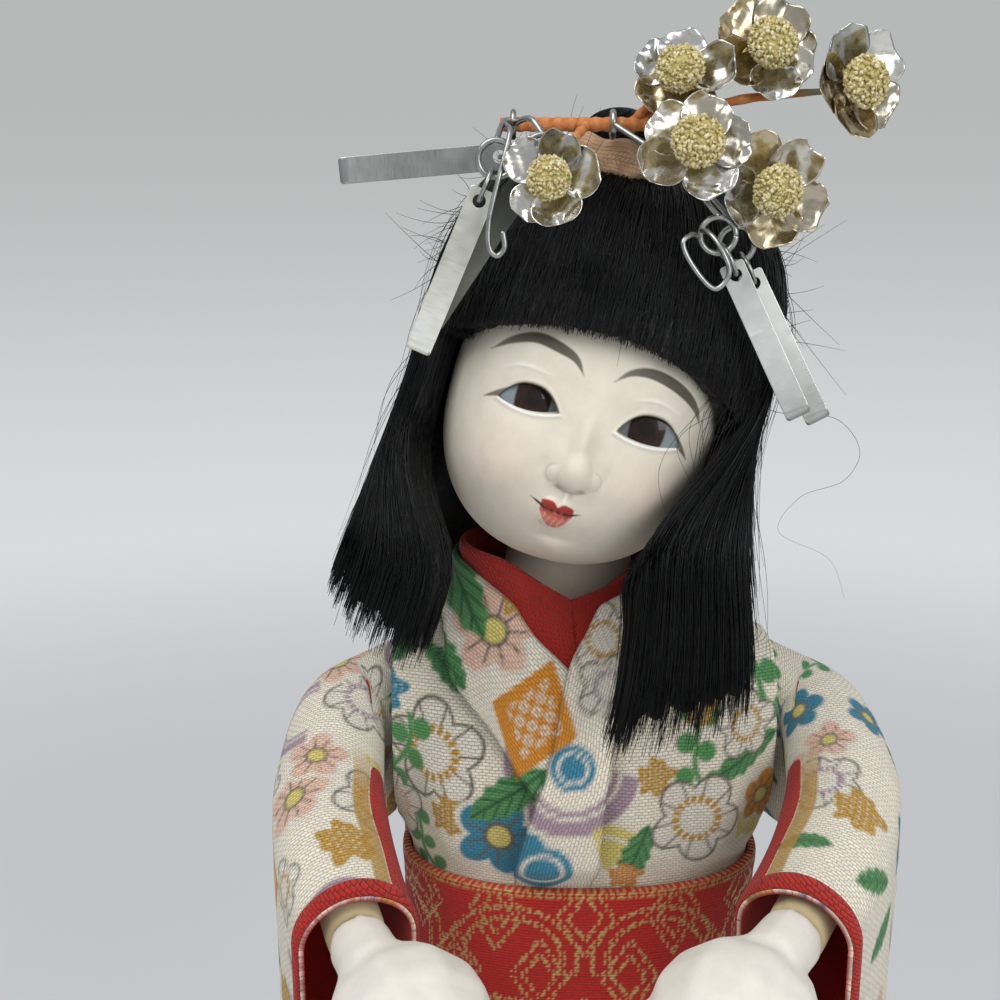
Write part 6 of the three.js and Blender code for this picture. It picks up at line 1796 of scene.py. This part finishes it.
def make_stems():
    """The bar and the stems, wound in orange paper that runs out to bare wire near the flowers."""
    paper = painted_grain("wound orange paper", 1500, {"Roughness": 0.8, "Specular IOR Level": 0.25}, 0.12)
    orange, bare, tan = (np.array(linear(code)) for code in ("#c9773f", "#7f8268", "#d9a878"))
    y = bar_y()
    form = Form()
    along = np.linspace(BAR_ENDS[0], BAR_ENDS[1], 160)
    line = np.stack([along, np.full(160, y), np.full(160, BAR_Z)], -1)
    winding = 0.5 + 0.5 * np.sin(along * 2 * np.pi / 1.9)
    form.add_tube(line, BAR_RADIUS - 0.12 + 0.16 * winding, 18, mix(orange, tan, 0.35 * winding[:, None]))
    prong = np.linspace((PRONG_X, y, BAR_Z), (PRONG_X, y + 10, BAR_Z - 1), 12)
    form.add_tube(prong, 0.8, 10, tuple(bare))
    for (middle, look, size), root_x in zip(FLOWERS, STEM_ROOTS):
        way = unit(np.array(look, float))
        tip = above_eyes(middle) - way * (1.2 * size + GAP)
        root = np.array((root_x, y, BAR_Z))
        behind = tip - way * 2.5
        bend = mix(root, behind, 0.5) + (0, -1.5, 1)
        path = smooth_path([root, bend, behind, tip], 90)
        share = np.linspace(0, 1, 90)
        wound = 1 - ease(0.45, 0.6, share)
        ridge = 0.5 + 0.5 * np.sin(share * 60)
        radius = STEM_RADIUS + wound * (0.15 + 0.12 * ridge)
        form.add_tube(path, radius, 10, mix(bare, mix(orange, tan, 0.3 * ridge[:, None]), wound[:, None]))
    form.make("stem_bundle_paper", [paper], "stem_bundle")


def ring_path(centre, radius, first, second, count=48):
    angle = np.linspace(0, 2 * np.pi, count)[:, None]
    return np.array(centre) + radius * (np.cos(angle) * np.array(first) + np.sin(angle) * np.array(second))


# Loose bent wires of the hangers: a long hook on the first, a pinched link on the second
BENT_WIRES = {
    "left": ((-13.4, -24.2, 291.1), (-12.6, -29, 289.6), (-14, -31, 284), (-15.6, -31.5, 277),
             (-15.4, -31.5, 273.4),
             (-14.4, -31.5, 272.6), (-13.4, -31.5, 273.6), (-13.6, -31.5, 276)),
    "right": ((15.1, -25, 275), (13.4, -27.6, 275.4), (12.2, -28.6, 274.4), (13.3, -28.8, 271.6),
              (17, -28.8, 267.8),
              (18.9, -28.8, 270), (17.6, -28.6, 273.6), (16, -26.8, 275.8), (15.2, -25, 276)),
}


def make_hangers():
    wire = plain_grain("drawn steel wire", "#8f908c", "#b7b8b4", 900, (1, 1, 1),
                       {"Metallic": 1, "Roughness": 0.32}, 0.02)
    y = bar_y()
    clasp_radius = BAR_RADIUS + GAP + HANGER_WIRE
    for hand, x, letters in CLASPS:
        form = Form()
        form.add_tube(ring_path((x, y, BAR_Z), clasp_radius, (0, 1, 0), (0, 0, 1)), HANGER_WIRE, 10)
        for letter in letters:
            centre = above_eyes(EYELETS[letter])
            root = np.array((x, y - clasp_radius, BAR_Z))
            end = centre + (0, 0, EYELET_RADIUS)
            bend = mix(root, end, 0.6) + (0, -1, 1.5)
            form.add_tube(smooth_path([root, bend, end], 40), HANGER_WIRE, 10)
            form.add_tube(ring_path(centre, EYELET_RADIUS, (1, 0, 0), (0, 0, 1)), HANGER_WIRE, 10)
        form.add_tube(smooth_path(BENT_WIRES[hand], 70), BENT_WIRE, 8)
        form.make(f"hanger_{hand}_wire", [wire], f"hanger_{hand}")
    ring_offset = EYELET_RADIUS - HANGER_WIRE - RING_WIRE - GAP + RING_RADIUS
    metal = brushed_aluminium()
    for letter, (eyelet, degrees) in STRIPS.items():
        way = np.array((math.cos(math.radians(degrees)), 0, math.sin(math.radians(degrees))))
        centre = above_eyes(EYELETS[eyelet]) + way * ring_offset
        form = Form()
        form.add_tube(ring_path(centre, RING_RADIUS, way, (0, 1, 0)), RING_WIRE, 10)
        form.make(f"ring_{letter}_wire", [wire], f"ring_{letter}")
        set_back = np.array((0, STRIP_SET_BACK.get(letter, 0), 0))
        make_strip(letter, centre + way * RING_RADIUS + set_back, way, metal)


# Painted light and shade: the same aluminium gets a tone per strip, pale where a strip is lit, dark where
# it hangs in shade (c).
STRIP_LIT_AND_SHADED_TONES = {"a": "#a9aaa8", "b": "#eeede2", "c": "#6c6d64", "d": "#c9cac7", "e": "#d4d5d0"}


def strip_outline(count):
    """Edge of a strip seen flat, from its hole: places along it and across it, with small cut corners."""
    start, end = -STRIP_EDGE, STRIP_LENGTH - STRIP_EDGE
    half, corner = STRIP_WIDTH / 2, STRIP_CORNER
    edge = []
    for x, y, turn in ((end, half, 0), (start, half, 90), (start, -half, 180), (end, -half, 270)):
        middle = (x - corner * np.sign(x), y - corner * np.sign(y))
        for degrees in np.linspace(turn, turn + 90, 7):
            angle = math.radians(degrees)
            edge.append((middle[0] + corner * math.cos(angle), middle[1] + corner * math.sin(angle)))
    edge = np.array(edge + edge[:1])
    travel = np.concatenate([[0], np.cumsum(np.linalg.norm(np.diff(edge, axis=0), axis=1))])
    places = np.linspace(0, travel[-1], count, endpoint=False)
    return np.stack([np.interp(places, travel, edge[:, k]) for k in (0, 1)], -1)


def make_strip(letter, hole, way, metal):
    """A cut aluminium strip with a punched hole and a faint bend along it."""
    across_way = np.array((-way[2], 0, way[0]))
    edge = strip_outline(220)
    punched = STRIP_HOLE * edge / np.linalg.norm(edge, axis=1, keepdims=True)
    spread = np.linspace(0, 1, 24)[:, None, None] ** 1.5
    flat = mix(punched[None], edge[None], spread)
    along, across = flat[..., :1], flat[..., 1:]
    grid = hole + along * way + across * across_way
    half = FOIL / 2 - 0.08
    bend = STRIP_BEND * along ** 2 * (0, -1, 0)
    front, back = grid + bend + (0, -half, 0), grid + bend + (0, half, 0)
    # Painted light and shade: each strip grows lighter or darker along its length, with a faint random
    # mottle.
    shade = 1 + 0.22 * np.sin(0.18 * along + ord(letter)) + 0.05 * waves(flat, 3, ord(letter))[..., None]
    colour = np.clip(np.array(linear(STRIP_LIT_AND_SHADED_TONES[letter])) * shade, 0, 1)
    form = Form()
    form.add_slab(front, back, True, colour, cloth=flat)
    form.make(f"strip_{letter}_metal", [metal], f"strip_{letter}")


# Board, feet and inner body
BOARD_CORNER = 10.6
BOARD_LOW_EDGE = 0.8
BOARD_TOP_EDGE = 2


def make_board():
    """Black lacquer on wood: deep gloss with faint waves and thinner brown film along the edges."""
    lacquer = painted_grain("black lacquered wood", 60, {
        "Roughness": 0.2, "Coat Weight": 0.6, "Coat Roughness": 0.06, "Specular IOR Level": 0.5}, 0.05)
    half = (BOARD_HIGH - BOARD_LOW)[:2] / 2
    corner = np.linspace(0, np.pi / 2, 20)
    radius = BOARD_CORNER
    outline = []
    for k, (sx, sy) in enumerate(((1, 1), (-1, 1), (-1, -1), (1, -1))):
        turn = corner + k * np.pi / 2
        outline.append(np.stack([sx * (half[0] - radius) + radius * np.cos(turn),
                                 sy * (half[1] - radius) + radius * np.sin(turn)], -1))
    outline = np.concatenate(outline)
    height = BOARD_HIGH[2]
    edge = np.linspace(0, np.pi / 2, 8)
    low = [(BOARD_LOW_EDGE * (1 - math.sin(a)), BOARD_LOW_EDGE * (1 - math.cos(a))) for a in edge]
    high = [(BOARD_TOP_EDGE * (1 - math.cos(a)), height - BOARD_TOP_EDGE * (1 - math.sin(a))) for a in edge]
    rows, tones = [], []
    dark, worn = np.array(linear("#16100d")), np.array(linear("#3b241a"))
    profile = [(half[1] - 1, 0)] + low + high + [(4, height), (half[1] * 0.5, height),
                                                 (half[1] - 1, height)]
    for inset, z in profile:
        scale = (half - inset) / half if inset < 6 else np.full(2, (half[1] - inset) / half[1])
        rows.append(np.column_stack([outline * scale, np.full(len(outline), z)]))
        rim = math.exp(-abs(z - (height - 0.7)) / 0.5) * (inset < 3)
        tones.append(np.tile(mix(dark, worn, 0.8 * rim), (len(outline), 1)))
    form = Form()
    form.add_grid(np.array(rows), True, np.array(tones))
    form.make("base_board_lacquer", [lacquer], "base_board")


def make_inner_body():
    sock = woven_cloth("white sock cotton", 0.6, 0.3, linear("#e6e1d6"), depth=0.06, dark=0.8)
    calico = woven_cloth("unbleached calico", 0.7, 0.35, linear("#c9b78f"), depth=0.1)
    pine = plain_grain("bare pine", "#a97f4d", "#cba56e", 260, (1, 1, 0.08), {"Roughness": 0.7}, 0.06)
    steel = plain_grain("arm wire steel", "#7d7d7b", "#a3a3a0", 700, (1, 1, 1),
                        {"Metallic": 1, "Roughness": 0.4}, 0.02)
    for hand in ("left", "right"):
        softened(f"foot_{hand}_sock", f"foot_{hand}", sock, 0.5, 6)
        softened(f"arm_{hand}_stuffed", f"arm_{hand}", calico, 0.7, 6)
    softened("torso_stuffed", "torso_core", calico, 1.2, 4)
    for node, material in (("leg_post_left", pine), ("leg_post_right", pine), ("neck_peg", pine),
                           ("arm_wire", steel)):
        mesh = frame["nodes"][node].data
        mesh.materials.clear()
        mesh.materials.append(material)


# Stage


CAMERA_PLACE = (-0.014, -0.2322, 0.280)
CAMERA_PITCH = math.radians(78)
BACKDROP_RISE = (-0.25, 0.08)
SENSOR_WIDTH = 36
NEAREST_SEEN = 0.005
AIR_COLOUR = (0.93, 0.96, 1, 1)
AIR_STRENGTH = 0.5
KEY_LAMP = ((-0.35, -0.35, 1.0), (0, 0, 0.22), 0.7)
FILL_LAMP = ((0.5, -0.7, 0.5), (0, 0, 0.2), 0.5)
FLOOR_REACH = 2.2
FLOOR_FADE = (0.3, 1.0)
FLOOR_RINGS = 24
FLOOR_SPOKES = 96


def make_stage():
    look = bpy.context.scene.doll_stage
    scene = bpy.context.scene
    scene.view_settings.view_transform = "Standard"
    camera = bpy.data.objects.new("camera", bpy.data.cameras.new("camera"))
    camera.data.lens = look.lens
    camera.data.sensor_width = SENSOR_WIDTH
    camera.data.clip_start = NEAREST_SEEN
    camera.location = CAMERA_PLACE
    camera.rotation_euler = (CAMERA_PITCH, 0, 0)
    scene.collection.objects.link(camera)
    scene.camera = camera
    world = bpy.data.worlds.new("studio air")
    scene.world = world
    world.use_nodes = True
    tree = world.node_tree
    light = add_node(tree, "ShaderNodeLightPath")
    place = add_node(tree, "ShaderNodeTexCoord")
    way = add_node(tree, "ShaderNodeSeparateXYZ", inputs={0: place.outputs["Generated"]})
    high = add_node(tree, "ShaderNodeMapRange", {"interpolation_type": "SMOOTHSTEP"}, {
        "Value": way.outputs["Z"], "From Min": BACKDROP_RISE[0], "From Max": BACKDROP_RISE[1]})
    tone = add_node(tree, "ShaderNodeMix", {"data_type": "RGBA"}, {
        "Factor": high.outputs[0], 6: (*look.low, 1), 7: (*look.far, 1)})
    seen = add_node(tree, "ShaderNodeBackground", inputs={"Color": tone.outputs[2], "Strength": 1})
    air = add_node(tree, "ShaderNodeBackground", inputs={"Color": AIR_COLOUR, "Strength": AIR_STRENGTH})
    choose = add_node(tree, "ShaderNodeMixShader",
                      inputs={0: light.outputs["Is Camera Ray"], 1: air.outputs[0], 2: seen.outputs[0]})
    tree.links.new(choose.outputs[0], tree.nodes["World Output"].inputs["Surface"])
    for name, (spot, target, size), power in (
            ("key lamp", KEY_LAMP, look.key), ("fill lamp", FILL_LAMP, look.fill)):
        lamp = bpy.data.objects.new(name, bpy.data.lights.new(name, "AREA"))
        lamp.data.size = size
        lamp.data.energy = power
        lamp.location = spot
        lamp.rotation_euler = (Vector(target) - Vector(spot)).to_track_quat("-Z", "Y").to_euler()
        scene.collection.objects.link(lamp)
    make_floor(look)


def make_floor(look):
    """A pale round floor that fades into the background."""
    angle, share = np.meshgrid(full_turn(FLOOR_SPOKES),
                               np.linspace(0.001, 1, FLOOR_RINGS))
    reach = FLOOR_REACH * share
    points = np.stack([reach * np.cos(angle), reach * np.sin(angle), 0 * angle], -1).reshape(-1, 3)
    mesh = bpy.data.meshes.new("floor")
    mesh.from_pydata(points.tolist(), [], grid_faces(FLOOR_RINGS, FLOOR_SPOKES, True).tolist())
    floor = bpy.data.objects.new("floor", mesh)
    bpy.context.scene.collection.objects.link(floor)
    material, tree, shader = new_material("pale studio floor",
                                          {"Roughness": 0.9, "Base Color": (*look.floor, 1)})
    place = add_node(tree, "ShaderNodeTexCoord")
    reach = add_node(tree, "ShaderNodeVectorMath", {"operation": "LENGTH"}, {0: place.outputs["Object"]})
    fade = add_node(tree, "ShaderNodeMapRange", {"interpolation_type": "SMOOTHSTEP"}, {
        "Value": reach.outputs["Value"], "From Min": FLOOR_FADE[0], "From Max": FLOOR_FADE[1]})
    clear = add_node(tree, "ShaderNodeBsdfTransparent")
    blend = add_node(tree, "ShaderNodeMixShader", inputs={
        0: fade.outputs[0], 1: shader.outputs[0], 2: clear.outputs[0]})
    tree.links.new(blend.outputs[0], tree.nodes["Material Output"].inputs["Surface"])
    mesh.materials.append(material)


class DOLL_OT_stage(bpy.types.Operator):
    """Makes the floor, the light and the camera"""
    bl_idname = "doll.stage"
    bl_label = "Stage"

    def execute(self, context):
        make_stage()
        return {"FINISHED"}


class DOLL_OT_board(bpy.types.Operator):
    """Makes the lacquered board"""
    bl_idname = "doll.board"
    bl_label = "Board"

    def execute(self, context):
        make_board()
        return {"FINISHED"}


class DOLL_OT_inner_body(bpy.types.Operator):
    """Makes the feet, arms and body under the kimono"""
    bl_idname = "doll.inner_body"
    bl_label = "Feet and inner body"

    def execute(self, context):
        make_inner_body()
        return {"FINISHED"}


class DOLL_OT_kimono(bpy.types.Operator):
    """Makes the bodice, skirt, lining and collars"""
    bl_idname = "doll.kimono"
    bl_label = "Kimono"

    def execute(self, context):
        make_bodice()
        make_skirt()
        make_collars()
        return {"FINISHED"}


class DOLL_OT_obi(bpy.types.Operator):
    """Makes the obi with its knot and loops"""
    bl_idname = "doll.obi"
    bl_label = "Obi"

    def execute(self, context):
        make_obi()
        return {"FINISHED"}


class DOLL_OT_sleeves(bpy.types.Operator):
    """Makes the lined sleeves"""
    bl_idname = "doll.sleeves"
    bl_label = "Sleeves"

    def execute(self, context):
        make_sleeves()
        return {"FINISHED"}


class DOLL_OT_head(bpy.types.Operator):
    """Makes the face, the glass eyes and the hands"""
    bl_idname = "doll.head"
    bl_label = "Head and hands"

    def execute(self, context):
        make_head()
        return {"FINISHED"}


class DOLL_OT_hair(bpy.types.Operator):
    """Makes the hair, the topknot and its cloth"""
    bl_idname = "doll.hair"
    bl_label = "Hair"

    def execute(self, context):
        make_hair()
        return {"FINISHED"}


class DOLL_OT_flowers(bpy.types.Operator):
    """Makes the foil flowers and their stems"""
    bl_idname = "doll.flowers"
    bl_label = "Flowers"

    def execute(self, context):
        make_flowers()
        make_stems()
        return {"FINISHED"}


class DOLL_OT_hangers(bpy.types.Operator):
    """Makes the wire hangers, rings and strips"""
    bl_idname = "doll.hangers"
    bl_label = "Hanging strips"

    def execute(self, context):
        make_hangers()
        return {"FINISHED"}


OPERATORS = (
    DOLL_OT_stage, DOLL_OT_board, DOLL_OT_inner_body, DOLL_OT_kimono, DOLL_OT_obi, DOLL_OT_sleeves,
    DOLL_OT_head, DOLL_OT_hair, DOLL_OT_flowers, DOLL_OT_hangers,
)


class DOLL_PT_panel(bpy.types.Panel):
    """Lists the pieces and the values that may be changed"""
    bl_idname = "DOLL_PT_panel"
    bl_label = "Kimono doll"
    bl_space_type = "VIEW_3D"
    bl_region_type = "UI"
    bl_category = "Doll"

    def draw(self, context):
        for operator in OPERATORS:
            self.layout.operator(operator.bl_idname)
        for key in GROUPS:
            values = getattr(context.scene, key)
            box = self.layout.box()
            for field in GROUPS[key].__annotations__:
                box.prop(values, field)


GROUPS = {
    "doll_cloth": DollClothColours,
    "doll_paint": DollPaint,
    "doll_hair": DollHairShape,
    "doll_stage": DollStage,
}


def register():
    for one in (*GROUPS.values(), *OPERATORS, DOLL_PT_panel):
        bpy.utils.register_class(one)
    for key, group in GROUPS.items():
        setattr(bpy.types.Scene, key, bpy.props.PointerProperty(type=group))


def unregister():
    for key in GROUPS:
        delattr(bpy.types.Scene, key)
    for one in (DOLL_PT_panel, *reversed(OPERATORS), *reversed(GROUPS.values())):
        bpy.utils.unregister_class(one)


def main():
    register()
    bpy.ops.doll.stage()
    bpy.ops.doll.board()
    bpy.ops.doll.inner_body()
    bpy.ops.doll.kimono()
    bpy.ops.doll.obi()
    bpy.ops.doll.sleeves()
    bpy.ops.doll.head()
    bpy.ops.doll.hair()
    bpy.ops.doll.flowers()
    bpy.ops.doll.hangers()


if __name__ == "__main__":
    main()
